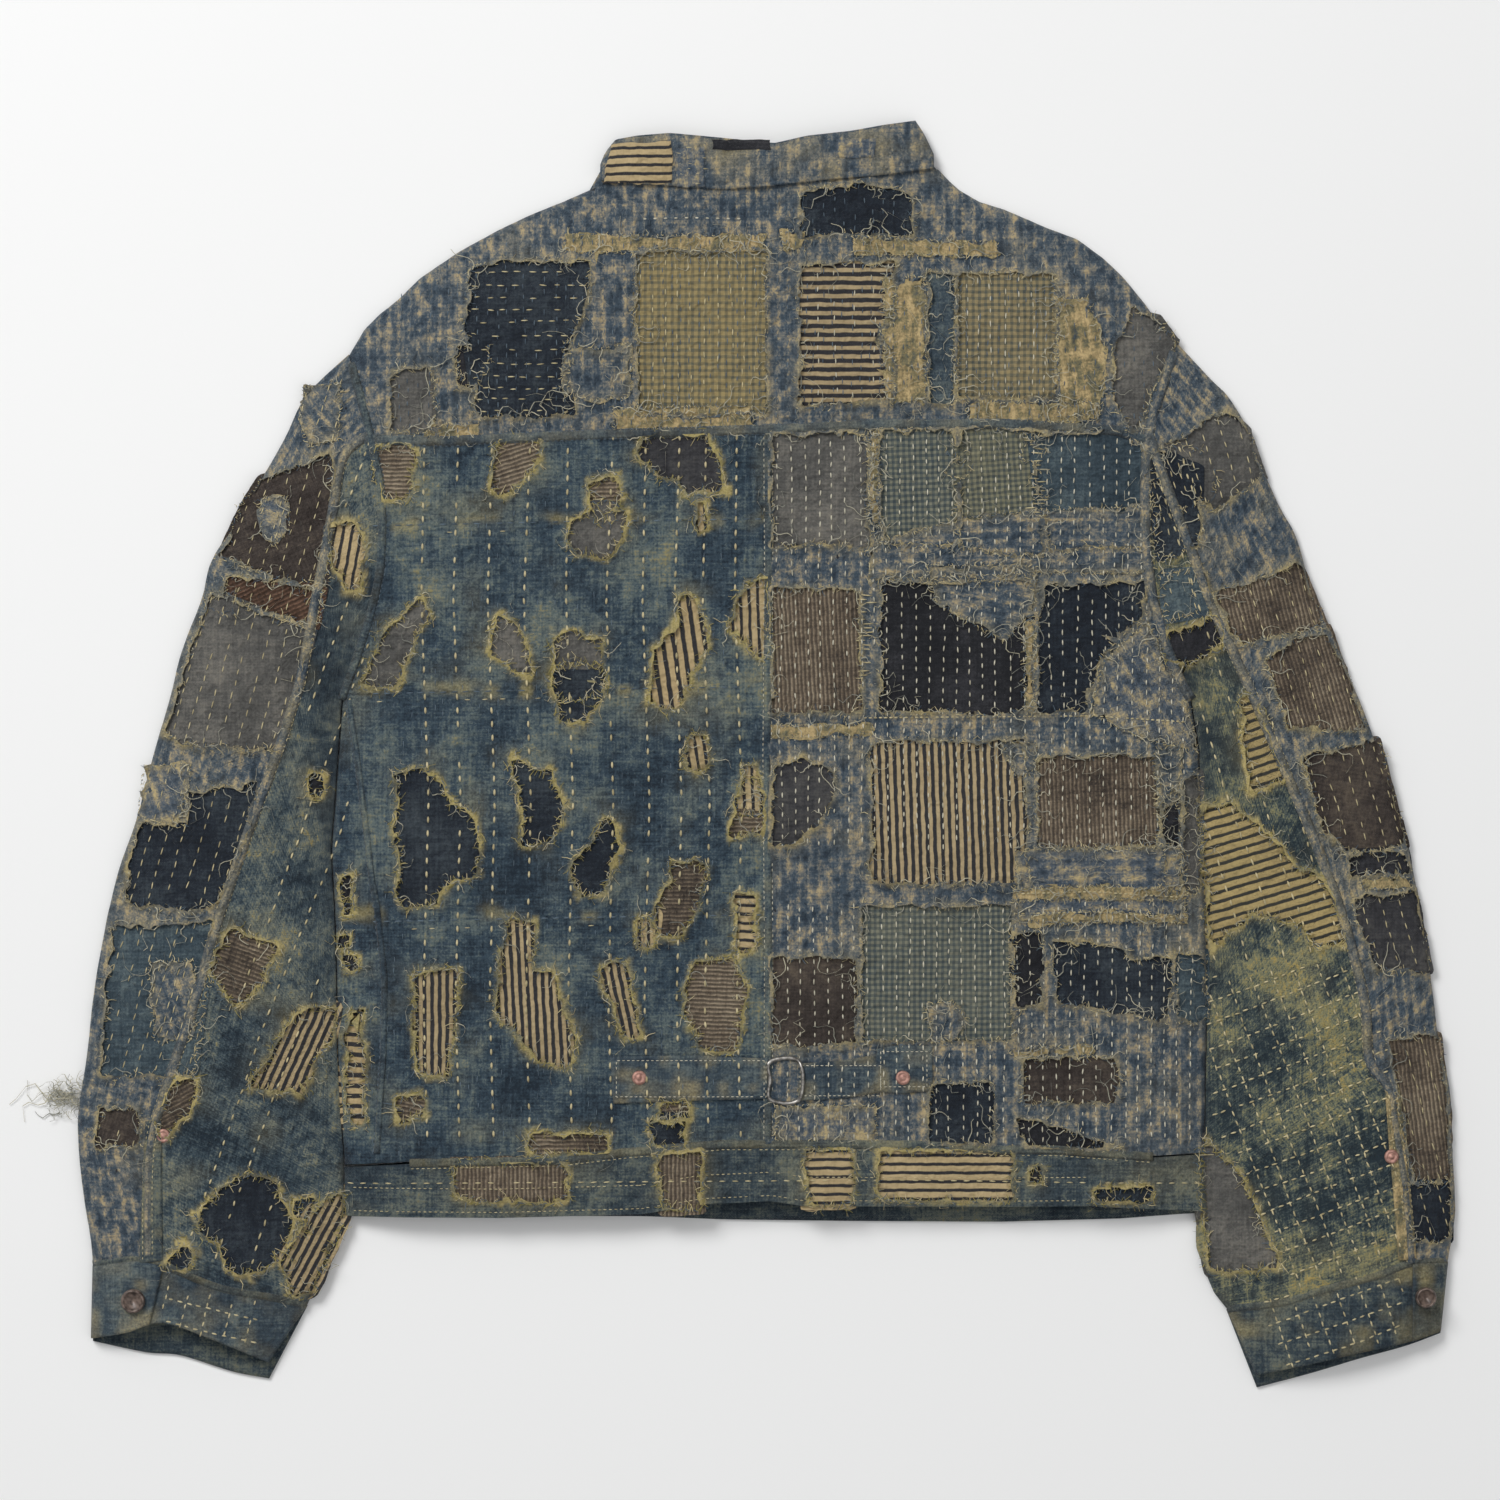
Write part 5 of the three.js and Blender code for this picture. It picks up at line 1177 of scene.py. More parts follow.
frontLeft = shell("frontLeft", [dict(place=frontPlace(-1), parts=(56, 90), down=True, height=frontHeight(-1),
                                     wear=wearOf(0.2, 0.3, 30, 11))], ["wornIndigo"], 1.8)
frontRight = shell("frontRight", [dict(place=frontPlace(1), parts=(56, 90), down=True, height=frontHeight(1),
                                       wear=wearOf(0.25, 0.3, 30, 12))], ["kasuri"], 1.8)


def leafPlace(side):
    c = frontCut

    def place(u, v):
        t = v[:, None]
        shoulder = np.array([112.0 * side, at(topLine, 112.0 * side) - 1])
        point, meet = np.array([c["collarPoint"] * side, c["pointY"] + 1]), np.array([2.0 * side, c["meetY"]])
        free = np.where(t < 0.75, shoulder + (point - shoulder) * t / 0.75, point + (meet - point) * (t - 0.75) / 0.25)
        fold = np.array([100.0 * side, 372]) + (np.array([1.2 * side, 326]) - [100.0 * side, 372]) * t
        p = free + [-side * 0.8, 0.8] + (fold - free - [-side * 0.8, 0.8]) * u[:, None]
        return p, p.copy()
    return place


def collarPlace(u, v):
    x = -104 + 208 * u
    low, high = at(fallEdge, x), at(fallFold, x)
    y = low + (high - low) * v
    return np.stack([x, y], -1), np.stack([x, y], -1)


def collarSeat(x, y):
    # height of the neck under the collar, how far up the fall a point lies, and the fall's rounding
    neck = at(neckLine, np.clip(x, -106, 106)) + 1.2
    low, high = at(fallEdge, x), at(fallFold, x)
    t = np.clip((y - low) / np.maximum(high - low, 1), 0, 1)
    return heightAt(x, neck), t, np.sqrt(np.clip(1 - t ** 3, 0, 1))


def collarHeight(x, y):
    seat, t, crown = collarSeat(x, y)
    return seat + 3.4 * crown + 0.35 * ripple(x, y, 9, 3) + 0.5 * np.sin(t * 3.1)


def collarUnder(x, y):
    seat, t, crown = collarSeat(x, y)
    return seat - 2.4 * crown


collar = shell("collar", [dict(place=collarPlace, parts=(90, 22), height=collarHeight, wear=wearOf(0.1, 0.4, 14, 2)),
                          dict(place=collarPlace, parts=(40, 6), height=collarUnder, down=True)], ["kasuri"], 1.2)
collarBits = []
for k, patch in enumerate(patchesCollar):
    low, high = patch["line"].min(0) - 2, patch["line"].max(0) + 2
    angle = math.radians(patch["angle"])

    def bitPlace(u, v, low=low, high=high, angle=angle):
        p = low + (high - low) * np.stack([u, v], -1)
        return p, turnedGrain(p, angle)
    collarBits.append(dict(place=bitPlace, parts=(22, 14), slot=k, height=lambda x, y: collarHeight(x, y) + 0.55,
                           keep=lambda x, y, line=patch["line"]: depthIn(x, y, line) + ripple(x, y, 5, 31)))
collarPatches = shell("collarPatches", collarBits, [patch["cloth"] for patch in patchesCollar], 0.5)
collarLeafLeft = shell("collarLeafLeft", [lowerLayer(leafPlace(-1), (12, 24))], ["kasuri"], 1.8)
collarLeafRight = shell("collarLeafRight", [lowerLayer(leafPlace(1), (12, 24))], ["kasuri"], 1.8)

# cuffs: a band on top, its dark inside below, and the buttoned tab
cuffSettings = dict(Left=dict(seam=cuffSeamLeft, upper=cuffUpperLeft, lower=cuffLowerLeft, tab=0.33, cloth="blueCloth"),
                    Right=dict(seam=cuffSeamRight, upper=cuffUpperRight, lower=cuffLowerRight, tab=0.16,
                               cloth="bandIndigo"))
tabRise = 2.4
cuffs = {}
for label, c in cuffSettings.items():
    tabPlace = cuffPlace(c["seam"], c["upper"], c["tab"])
    cuffs[label] = shell("cuff" + label, [
        dict(place=cuffPlace(c["seam"], c["upper"]), parts=(50, 20), wear=wearOf(0.1, 0.5, 12, 3)),
        dict(place=tabPlace, parts=(18, 18), wear=wearOf(0.15, 0.5, 10, 4),
             height=lambda x, y: heightAt(x, y) + tabRise),
        lowerLayer(cuffPlace(c["seam"], c["lower"]), (30, 14), 1)], [c["cloth"], "bandIndigo"], 1.5, lift=0.4)
    raiseMap(tabPlace, tabRise)
print("fronts, collar and cuffs laid")

# waist cinch and cuff slits
strapSettings = dict(thickness=1.4, lift=1.5, slimLift=1.2)


def bandBetween(low, high):
    low, high = fromPhoto(low), fromPhoto(high)

    def place(u, v):
        a, b = along(low, u), along(high, u)
        p = a + (b - a) * v[:, None]
        return p, p.copy()
    return place


strapPlaces = dict(
    cinchStrapLeft=bandBetween([(614, 1102), (690, 1099), (769, 1097)], [(611, 1055), (690, 1054), (769, 1057)]),
    cinchStrapRight=bandBetween([(798, 1099), (840, 1097), (884, 1090)], [(798, 1062), (840, 1059), (884, 1052)]),
    cinchStrapEnd=bandBetween([(874, 1090), (902, 1092), (932, 1089)], [(876, 1047), (902, 1043), (931, 1045)]),
    placketLeft=bandBetween([(142, 1260), (152, 1260), (165, 1258)], [(148, 1120), (156, 1119), (164, 1120)]),
    placketRight=bandBetween([(1396, 1258), (1404, 1258), (1414, 1256)], [(1382, 1090), (1390, 1087), (1397, 1088)]),
)
straps = {}
for name, place in strapPlaces.items():
    slim = name.startswith("placket")
    cloth = "creamCloth" if name == "placketRight" else "bandIndigo" if slim else "blueCloth"
    lift = strapSettings["slimLift" if slim else "lift"]
    straps[name] = shell(name, [dict(place=place, parts=(8, 40) if slim else (44, 14), wear=wearOf(0.1, 0.6, 9, 14))],
                         [cloth], strapSettings["thickness"], lift=lift)
    raiseMap(place, lift)
print("straps sewn on")

# everything small that follows sits on this map of the finished cloth
finishedTop = topMap + softened(layerMap, 1)


def pieceName(kind, area, colour=""):
    return kind + area[0].upper() + area[1:] + colour.capitalize()


def joined(name, points, faces, shades, slot):
    # copies of a small template as one mesh: points is copies x verts x 3 in metres
    copies, verts = points.shape[:2]
    mesh = bpy.data.meshes.new(name)
    allFaces = (np.arange(copies)[:, None, None] * verts + np.array(faces)[None]).reshape(-1, len(faces[0]))
    mesh.from_pydata(points.reshape(-1, 3).tolist(), [], allFaces.tolist())
    mesh.polygons.foreach_set("use_smooth", [True] * len(mesh.polygons))
    layer = mesh.attributes.new("shade", "FLOAT", "POINT")
    layer.data.foreach_set("value", np.repeat(shades, verts).astype(np.float32))
    mesh.materials.append(materials[slot])
    obj = bpy.data.objects.new(name, mesh)
    scene.collection.objects.link(obj)
    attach(obj, "root")
    return obj


def template(make):
    bm = bmesh.new()
    make(bm)
    bm.verts.index_update()
    points = np.array([v.co[:] for v in bm.verts])
    faces = [[v.index for v in f.verts] for f in bm.faces]
    bm.free()
    return points, faces


spindle, spindleFaces = template(lambda bm: bmesh.ops.create_icosphere(bm, subdivisions=1, radius=1.0))
tubeGrid, tubeFaces = template(lambda bm: bmesh.ops.create_grid(bm, x_segments=3, y_segments=2, size=1.0))
curlGrid, curlFaces = template(lambda bm: bmesh.ops.create_grid(bm, x_segments=3, y_segments=7, size=1.0))

stitchLists = {}


def keepStitches(group, x, y, *angleLengthWidth):
    stitchLists.setdefault(group, []).append((x, y, *[np.broadcast_to(value, x.shape) for value in angleLengthWidth]))


def stitchField(group, outline, angle, rowPitch, pitch, dash, width, avoid=None, jitter=0.5, wander=2.0, miss=0.12):
    # running stitches in rows; angle 90 runs up the garment; outline in photo pixels, the rest in mm
    line = fromPhoto(outline)
    middle, size = line.mean(0), np.ptp(line, 0).max() * 0.8
    a = math.radians(angle)
    rows = np.arange(-size, size, rowPitch)
    steps = np.arange(-size, size, pitch)
    r, s = np.meshgrid(rows, steps, indexing="ij")
    r = r + jitter * rng.normal(0, 0.5, r.shape) + wander * ripple(s * 0.7 + 400, r * 3 + 90, 40, 12)
    s = s + jitter * rng.normal(0, 1.0, s.shape) + rng.uniform(0, pitch, (len(rows), 1))
    x = middle[0] + s * math.cos(a) - r * math.sin(a)
    y = middle[1] + s * math.sin(a) + r * math.cos(a)
    x, y = x.ravel(), y.ravel()
    stay = insideOf(x, y, line) & (rng.uniform(0, 1, x.shape) > miss)
    x, y = x[stay], y[stay]
    if avoid is not None and len(x):
        clear = avoid(x, y) > 1.5
        x, y = x[clear], y[clear]
    keepStitches(group, x, y, a + rng.normal(0, 0.06, x.shape), dash * rng.uniform(0.8, 1.15, x.shape), width)


def stitchLine(group, line, offset=0.0, pitch=3.4, dash=2.3, width=0.6, miss=0.06, photo=False, avoid=None):
    line = fromPhoto(line) if photo else np.asarray(line, float)
    length = lineLength(line)
    t = (np.arange(0, length, pitch) + pitch / 2) / length
    t = t[t < 1]
    t = t[rng.uniform(0, 1, t.shape) > miss]
    if avoid is not None:
        t = t[avoid(*along(line, t).T) > 2]
    p = along(line, t)
    d = directionAt(line, t, 0.003)
    angle = np.arctan2(d[:, 1], d[:, 0])
    keepStitches(group, p[:, 0] - np.sin(angle) * offset, p[:, 1] + np.cos(angle) * offset,
                 angle + rng.normal(0, 0.05, t.shape), dash, width)


# long running stitches of the left back, in columns, and paler darned bands between them
for column in (427, 459, 493, 529, 571, 611, 647, 679, 707, 739):
    bend = [(column + 3 * math.sin(column), 432), (column - 4, 600), (column + 3, 800), (column - 2, 1000),
            (column + 2, 1140)]
    stitchLine("cream:backLeft", bend, pitch=8.5, dash=4.6, width=1.6, photo=True, miss=0.06)
for row in (523, 690, 917):
    stitchLine("blue:backLeft", [(372, row + 4), (560, row), (764, row - 3)], pitch=7, dash=5, width=0.9, photo=True,
               avoid=depthBackLeft)
    stitchLine("cream:backLeft", [(372, row + 12), (560, row + 8), (764, row + 6)], pitch=11, dash=4, width=0.7,
               photo=True, miss=0.7, avoid=depthBackLeft)
stitchField("blue:backLeft", [(376, 436), (766, 432), (768, 1140), (360, 1155)], 90, 5.2, 7.5, 4.2, 0.55,
            avoid=depthBackLeft, miss=0.75)
# finer rows on the right back
for outline in ([(774, 436), (1145, 436), (1150, 580), (774, 585)],
                [(776, 590), (1145, 586), (1195, 750), (1150, 845), (774, 850)],
                [(776, 905), (1190, 900), (1200, 1140), (776, 1140)]):
    stitchField("white:backRight", outline, 90, 8.4, 6.5, 3.9, 0.95, jitter=0.3, wander=1.5, miss=0.04)
for ladderBox in (box(1027, 1044, 434, 520), box(860, 872, 592, 710)):
    stitchField("cream:backRight", ladderBox, 0, 2.6, 12, 8, 0.9, miss=0.05, wander=0.4)
for row in (718, 893, 913):
    stitchLine("cream:backRight", [(862 if row < 800 else 1014, row), (1090, row - 2), (1183, row + 4)], pitch=3.2,
               dash=2.6, width=1.1, photo=True)

# yoke and collar
for group, outline, numbers in (
        ("cream:yoke", [(474, 268), (589, 264), (568, 416), (480, 419)], (0, 8, 8.5, 4.8, 0.85)),
        ("cream:yoke", [(640, 256), (766, 254), (766, 414), (641, 415)], (90, 8, 8.5, 4, 0.8)),
        ("white:yoke", [(958, 274), (1052, 276), (1055, 398), (957, 400)], (90, 8, 8, 4, 0.8)),
        ("white:yoke", [(800, 268), (893, 266), (893, 405), (800, 406)], (90, 11, 9, 4, 0.8))):
    stitchField(group, outline, *numbers)
stitchLine("white:yoke", [(640, 221), (690, 220), (742, 221)], pitch=6.5, dash=2.4, width=1.1, photo=True, miss=0)
stitchField("blue:yoke", [(392, 300), (470, 250), (600, 200), (900, 190), (1060, 250), (1160, 330), (1150, 430),
                          (400, 440)], 90, 6, 7, 4, 0.7, miss=0.4)
stitchField("cream:collar", box(676, 705, 150, 190), 0, 2.8, 9, 6.5, 0.9, miss=0.05)

# long rows down the sleeves, crossed ones on the right forearm and the cuffs
gridSettings = dict(rowPitch=13.5, pitch=6.0, dash=3.9, width=1.2)
stitchField("cream:sleeveLeft", [(352, 448), (376, 440), (374, 640), (336, 900), (300, 1100), (262, 1275), (176, 1262),
                                 (214, 1120), (262, 900), (312, 700), (338, 560)], 70, 21, 8.6, 4.6, 1.35, miss=0.05)
stitchField("cream:sleeveRight", [(1150, 450), (1195, 450), (1210, 600), (1250, 680), (1290, 760), (1330, 880),
                                  (1346, 950), (1200, 975), (1198, 700), (1170, 560)], 108, 19, 8.6, 4.8, 1.35,
            miss=0.05)
for area, turn, group in (
        ([(165, 1285), (265, 1300), (262, 1345), (165, 1325)], -14, "sleeveLeft"),
        ([(1202, 975), (1350, 960), (1384, 1040), (1400, 1252), (1290, 1290), (1262, 1230), (1210, 1110)], 21,
         "sleeveRight"),
        ([(1262, 1300), (1400, 1262), (1404, 1330), (1280, 1370)], 19, "sleeveRight")):
    for across in (0, 90):
        stitchField("cream:" + group, area, turn + across, gridSettings["rowPitch"], gridSettings["pitch"],
                    gridSettings["dash"], gridSettings["width"], miss=0.03, jitter=0.25, wander=1.2)
for group, angle, patches in (("sleeveLeft", 74, patchesSleeveLeft), ("sleeveRight", 106, patchesSleeveRight)):
    for patch in patches:
        corner = patch["line"] / photoScale * [1, -1] + [photoMiddle[0], photoMiddle[1]]
        stitchField("cream:" + group, corner, angle, 10.5, 7.5, 5, 0.8)

# rows round the seams
seamStitches = [(yokeSeam, (3.0, -3.0), "blue:yoke"), (waistSeam[1:-1], (-3.5,), "cream:backLeft"),
                (centreSeam, (2.6, -2.6), "white:backRight"), (stripLine, (2.2,), "blue:backLeft"),
                (sleeveLeft["seam"], (3, -3), "cream:sleeveLeft"), (sleeveRight["seam"], (3, -3), "cream:sleeveRight"),
                (sleeveLeft["arm"][1:], (3,), "blue:sleeveLeft"), (sleeveRight["arm"][1:], (-3,), "blue:sleeveRight"),
                (backHem[1:-1], (3.5, 18), "cream:band")]
for line, offsets, group in seamStitches:
    for offset in offsets:
        stitchLine(group, line, offset)
stitchLine("cream:band", [(345, 1182), (600, 1180), (900, 1178), (1200, 1182)], pitch=8, dash=4.5, width=0.9,
           photo=True)
for corners in (box(617, 766, 1059, 1095), box(800, 880, 1064, 1094), box(880, 926, 1050, 1085)):
    stitchLine("white:straps", corners + corners[:1], pitch=3.0, dash=2.1, width=0.6, photo=True)

spools = dict(cream="creamThread", white="whiteThread", blue="blueThread")
for group, lists in stitchLists.items():
    colour, area = group.split(":")
    x, y, angle, length, width = [np.concatenate([np.asarray(item[k], float) for item in lists]) for k in range(5)]
    ax, ay = np.cos(angle), np.sin(angle)
    z = collarHeight(x, y) if area == "collar" else mapAt(x, y, finishedTop)
    half = length / 2
    rise = mapAt(x + ax * half, y + ay * half, finishedTop) - mapAt(x - ax * half, y - ay * half, finishedTop)
    slope = np.clip(rise / length, -0.5, 0.5)
    sx, sy, sz = spindle[:, 0], spindle[:, 1], spindle[:, 2]
    px = x[:, None] + sx * (half * ax)[:, None] - sy * (width / 2 * ay)[:, None]
    py = y[:, None] + sx * (half * ay)[:, None] + sy * (width / 2 * ax)[:, None]
    pz = z[:, None] + 0.25 + sx * (half * slope)[:, None] + sz * (width * 0.42)[:, None]
    points = toFrame(np.stack([px, py, pz], -1))
    shades = rng.uniform(0.25, 1, len(x))
    joined(pieceName("stitches", area, colour), points, spindleFaces, shades, spools[colour])
print("stitches sewn:", sum(len(item[0]) for lists in stitchLists.values() for item in lists))


def loosen(name, roots, headings, lengths, slot, radius=0.32, bend=0.5, lift=0.5, stand=None, curly=False):
    # thin loose threads that lie on the cloth, or at the heights in stand: roots in mm, headings in radians
    count = len(roots)
    if stand is None:
        room = np.minimum(*[lineDistance(roots[:, 0], roots[:, 1], s["outer"]) for s in (sleeveLeft, sleeveRight)])
        lengths = np.minimum(lengths, 0.6 * room + 0.6)
    turn = rng.normal(0, bend, count)
    grid, faces = (curlGrid, curlFaces) if curly else (tubeGrid, tubeFaces)
    u = (grid[:, 0] + 1) / 2
    v = (grid[:, 1] + 1) / 2
    waves = 0
    if curly:
        size, turns, start = [rng.uniform(a, b, count)[:, None] for a, b in ((0.2, 1.1), (4, 11), (0, 6))]
        waves = size * np.sin(v * turns + start)
    swing = headings[:, None] + turn[:, None] * v + 0.5 * waves
    px = roots[:, 0, None] + lengths[:, None] * v * np.cos(swing)
    py = roots[:, 1, None] + lengths[:, None] * v * np.sin(swing)
    girth = 2 * math.pi * u
    thin = radius * (1 - 0.45 * v)
    px = px - np.sin(swing) * np.cos(girth) * thin
    py = py + np.cos(swing) * np.cos(girth) * thin
    if stand is None:
        base = mapAt(px, py, finishedTop) + lift
    else:
        base = np.broadcast_to(stand, px.shape)
    hump = rng.uniform(0, 1.0, count)[:, None] * np.sin(v * math.pi)
    pz = base + hump + np.sin(girth) * thin
    points = toFrame(np.stack([px, py, pz], -1))
    return joined(name, points, faces, rng.uniform(0.1, 1, count), slot)


def edgeRoots(lines, spacing, depth=None):
    # places along the outlines where threads come loose, moved to where the tear really runs
    roots, headings = [], []
    for line in lines:
        o = np.vstack([line, line[:1]])
        length = lineLength(o)
        t = (np.arange(0, length, spacing) + rng.uniform(0, spacing)) / length
        t = np.clip(t + rng.normal(0, 0.4 * spacing / length, t.shape), 0, 1)
        p = along(o, t)
        d = directionAt(o, t)
        inward = np.arctan2(d[:, 1], d[:, 0]) + math.pi / 2
        test = p + 1.5 * pointing(inward)
        wrong = ~insideOf(test[:, 0], test[:, 1], line)
        inward = np.where(wrong, inward + math.pi, inward)
        if depth is not None:
            for _ in range(3):
                d0 = depth(p[:, 0], p[:, 1])
                p = p + np.clip(d0, -3, 3)[:, None] * pointing(inward)
        roots.append(p)
        headings.append(inward)
    return np.vstack(roots), np.concatenate(headings)


frayPieces = []
for area, holes, depth in (("BackLeft", holesBackLeft, depthBackLeft), ("SleeveLeft", holesSleeveLeft, depthSleeveLeft),
                           ("SleeveRight", holesSleeveRight, depthSleeveRight), ("Band", holesBand, depthBand)):
    for colour, spacing, low, high in (("green", 1.5, 1.6, 5.5), ("blue", 2.2, 1.5, 5.0), ("cream", 3.0, 2.0, 8.0)):
        roots, headings = edgeRoots([h["line"] for h in holes], spacing, depth)
        back = rng.uniform(0.5, 2.5, len(roots))
        roots = roots - back[:, None] * pointing(headings)
        lengths = back + rng.uniform(low, high, len(roots)) * rng.uniform(0.4, 1, len(roots))
        frayPieces.append(loosen(pieceName("fray", area, colour), roots, headings + rng.normal(0, 0.95, len(roots)),
                                 lengths, colour + "Thread", bend=0.9))
for area, (under, tongues, depth) in openPatches.items():
    for colour, spacing, low, high in (("cream", 1.9, 1.5, 6.5), ("blue", 2.4, 1.5, 7.0)):
        roots, headings = edgeRoots([p["line"] for p in under], spacing, depth)
        back = rng.uniform(0.5, 2.0, len(roots))
        roots = roots - back[:, None] * pointing(headings)
        lengths = back + rng.uniform(low, high, len(roots)) * rng.uniform(0.3, 1, len(roots))
        if tongues:
            more, turn = edgeRoots([p["line"] for p in tongues], spacing)
            roots, headings = np.vstack([roots, more]), np.r_[headings, turn + math.pi]
            lengths = np.r_[lengths, rng.uniform(low, high, len(more)) * rng.uniform(0.3, 1, len(more))]
        frayPieces.append(loosen(pieceName("fray", area, colour), roots, headings + rng.normal(0, 1.2, len(roots)),
                                 0.8 * lengths, colour + "Thread", lift=0.4, bend=1.3))
# a few long curled threads on the veils' edges
curling = dict(lift=0.9, bend=1.7, curly=True)
for area, (under, tongues, depth) in openPatches.items():
    roots, headings = edgeRoots([p["line"] for p in under + tongues], 9.0)
    pick = rng.uniform(0, 1, len(roots)) < 0.75
    roots, headings = roots[pick], headings[pick]
    frayPieces.append(loosen(pieceName("curls", area), roots, headings + rng.normal(0, 1.2, len(roots)),
                             rng.uniform(6, 20, len(roots)), "paleThread", radius=0.38, **curling))
roots, headings = edgeRoots([h["line"] for h in holesBackLeft + holesSleeveLeft + holesSleeveRight], 14.0)
frayPieces.append(loosen("curlsTorn", roots, headings + rng.normal(0, 1.5, len(roots)),
                         rng.uniform(5, 14, len(roots)), "paleThread", radius=0.36, **curling))
print("edges frayed:", sum(len(o.data.polygons) for o in frayPieces))

# the frayed knot beside the left sleeve
knotMiddle = fromPhoto([(72, 1096)])[0]
count = 90
spot = knotMiddle + rng.normal(0, 1, (count, 2)) * [6.5, 4.5]
knot = loosen("looseYarn", spot, rng.normal(math.pi, 1.0, count), rng.uniform(3, 11, count), "paleThread",
              radius=0.36, bend=1.6, stand=1.3 + rng.uniform(0, 2.0, (count, 1)), curly=True)
ends = fromPhoto([(62, 1090), (62, 1098), (62, 1104), (60, 1112)])
tips = fromPhoto([(12, 1100), (7, 1096), (24, 1083), (36, 1122)])
way = tips - ends
loosen("looseYarnEnds", ends, np.arctan2(way[:, 1], way[:, 0]), np.hypot(*way.T) * 0.96, "paleThread", radius=0.45,
       bend=0.3, stand=np.full((4, 1), 0.7), curly=True)


def turned(name, node, profile, slot):
    # a lathe-turned disc on its node's place; profile: share of the radius, share of the height
    low, high = [np.array(v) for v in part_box(node)]
    middle = (low + high) / 2
    radius = min(high[0] - low[0], high[1] - low[1]) / 2
    x, y = middle[0] * 1000 - shiftX, middle[1] * 1000 - shiftY
    tall = max(high[2] - low[2], 0.0012)
    base = low[2] if name.startswith("frontButton") else mapAt(x, y, finishedTop) / 1000 + 0.0001
    bm = bmesh.new()
    verts = [bm.verts.new((r * radius, 0, h * tall)) for r, h in profile]
    edges = [bm.edges.new(pair) for pair in zip(verts[:-1], verts[1:])]
    bmesh.ops.spin(bm, geom=verts + edges, cent=(0, 0, 0), axis=(0, 0, 1), angle=2 * math.pi, steps=40, use_merge=True)
    bmesh.ops.remove_doubles(bm, verts=bm.verts[:], dist=1e-6)
    bmesh.ops.recalc_face_normals(bm, faces=bm.faces[:])
    bmesh.ops.translate(bm, verts=bm.verts[:], vec=(middle[0], middle[1], base))
    obj = finishMesh(name, bm, [slot])
    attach(obj, "root")
    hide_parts(node)
    return obj


rivetProfile = [(0, 0), (1, 0), (1.02, 0.18), (0.95, 0.42), (0.78, 0.62), (0.62, 0.6), (0.55, 0.48), (0.42, 0.5),
                (0.3, 0.78), (0.12, 0.92), (0, 0.94)]
buttonProfile = [(0, 0), (0.9, 0), (1, 0.3), (1, 0.62), (0.93, 0.9), (0.84, 1), (0.74, 0.86), (0.66, 0.62), (0.2, 0.55),
                 (0.1, 0.4), (0, 0.38)]
for name, node in (("cinchRivetLeft", "cinch_rivet_left"), ("cinchRivetRight", "cinch_rivet_right"),
                   ("placketRivetLeft", "placket_rivet_left"), ("placketRivetRight", "placket_rivet_right")):
    turned(name, node, rivetProfile, "copperRivet")
for name, node in (("cuffButtonLeft", "cuff_button_left"), ("cuffButtonRight", "cuff_button_right")):
    turned(name, node, buttonProfile, "hornButton")
for k in range(6):
    turned("frontButton%d" % (k + 1), "front_button_%d" % (k + 1), buttonProfile, "hornButton")

# the slide in the middle of the cinch: a flat wire frame with the straps through it
slideSettings = dict(left=770, right=799, top=1060, bottom=1098, wire=1.3)
s = slideSettings
corners = fromPhoto(box(s["left"], s["right"], s["top"], s["bottom"]))
start = tuple(corners[0] + (corners[3] - corners[0]) * 0.5)
loop = rounded([start] + [tuple(c) for c in corners] + [start], 8)
middle = corners.mean(0)
bm = bmesh.new()
made = bmesh.ops.create_grid(bm, x_segments=10, y_segments=len(loop) - 1, size=1.0)["verts"]
for vert in made:
    a = (vert.co.x + 1) * math.pi
    p = along(loop, np.array([(vert.co.y + 1) / 2]))[0]
    d = (p - middle) / max(np.hypot(*(p - middle)), 1e-6)
    q = p + d * s["wire"] * math.cos(a)
    z = mapAt(p[0], p[1], finishedTop) + 1.2 + s["wire"] * math.sin(a)
    vert.co = toFrame(np.array([q[0], q[1], z]))
bmesh.ops.remove_doubles(bm, verts=bm.verts[:], dist=1e-5)
bmesh.ops.recalc_face_normals(bm, faces=bm.faces[:])
slide = finishMesh("cinchSlide", bm, ["steelSlide"])
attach(slide, "root")
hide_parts("cinch_keeper")
print("metal and buttons set")

# the CAD parts that each piece stands for are hidden
for piece, nodes in ((backLeftTorn, ("back_left", "side_strip_left")), (veilPieces["backRight"][1], ("back_right",)),
                     (veilPieces["yoke"][1], ("back_yoke",)),
                     (frontLeft, ("front_left",)), (frontRight, ("front_right",)), (bandTorn, ("waistband",)),
                     (veilPieces["sleeveLeftOuter"][1], ("sleeve_left_outer",)),
                     (sleeveLeftTorn, ("sleeve_left_under",)),
                     (veilPieces["sleeveRightOuter"][1], ("sleeve_right_outer",)),
                     (sleeveRightTorn, ("sleeve_right_under",)),
                     (cuffs["Left"], ("cuff_left",)), (cuffs["Right"], ("cuff_right",)), (collar, ("collar_back",)),
                     (collarLeafLeft, ("collar_leaf_left",)), (collarLeafRight, ("collar_leaf_right",)),
                     (straps["cinchStrapLeft"], ("cinch_strap_left",)),
                     (straps["cinchStrapRight"], ("cinch_strap_right",)),
                     (straps["placketLeft"], ("placket_left",)), (straps["placketRight"], ("placket_right",)),
                     (knot, ("loose_yarn",))):
    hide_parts(*nodes)
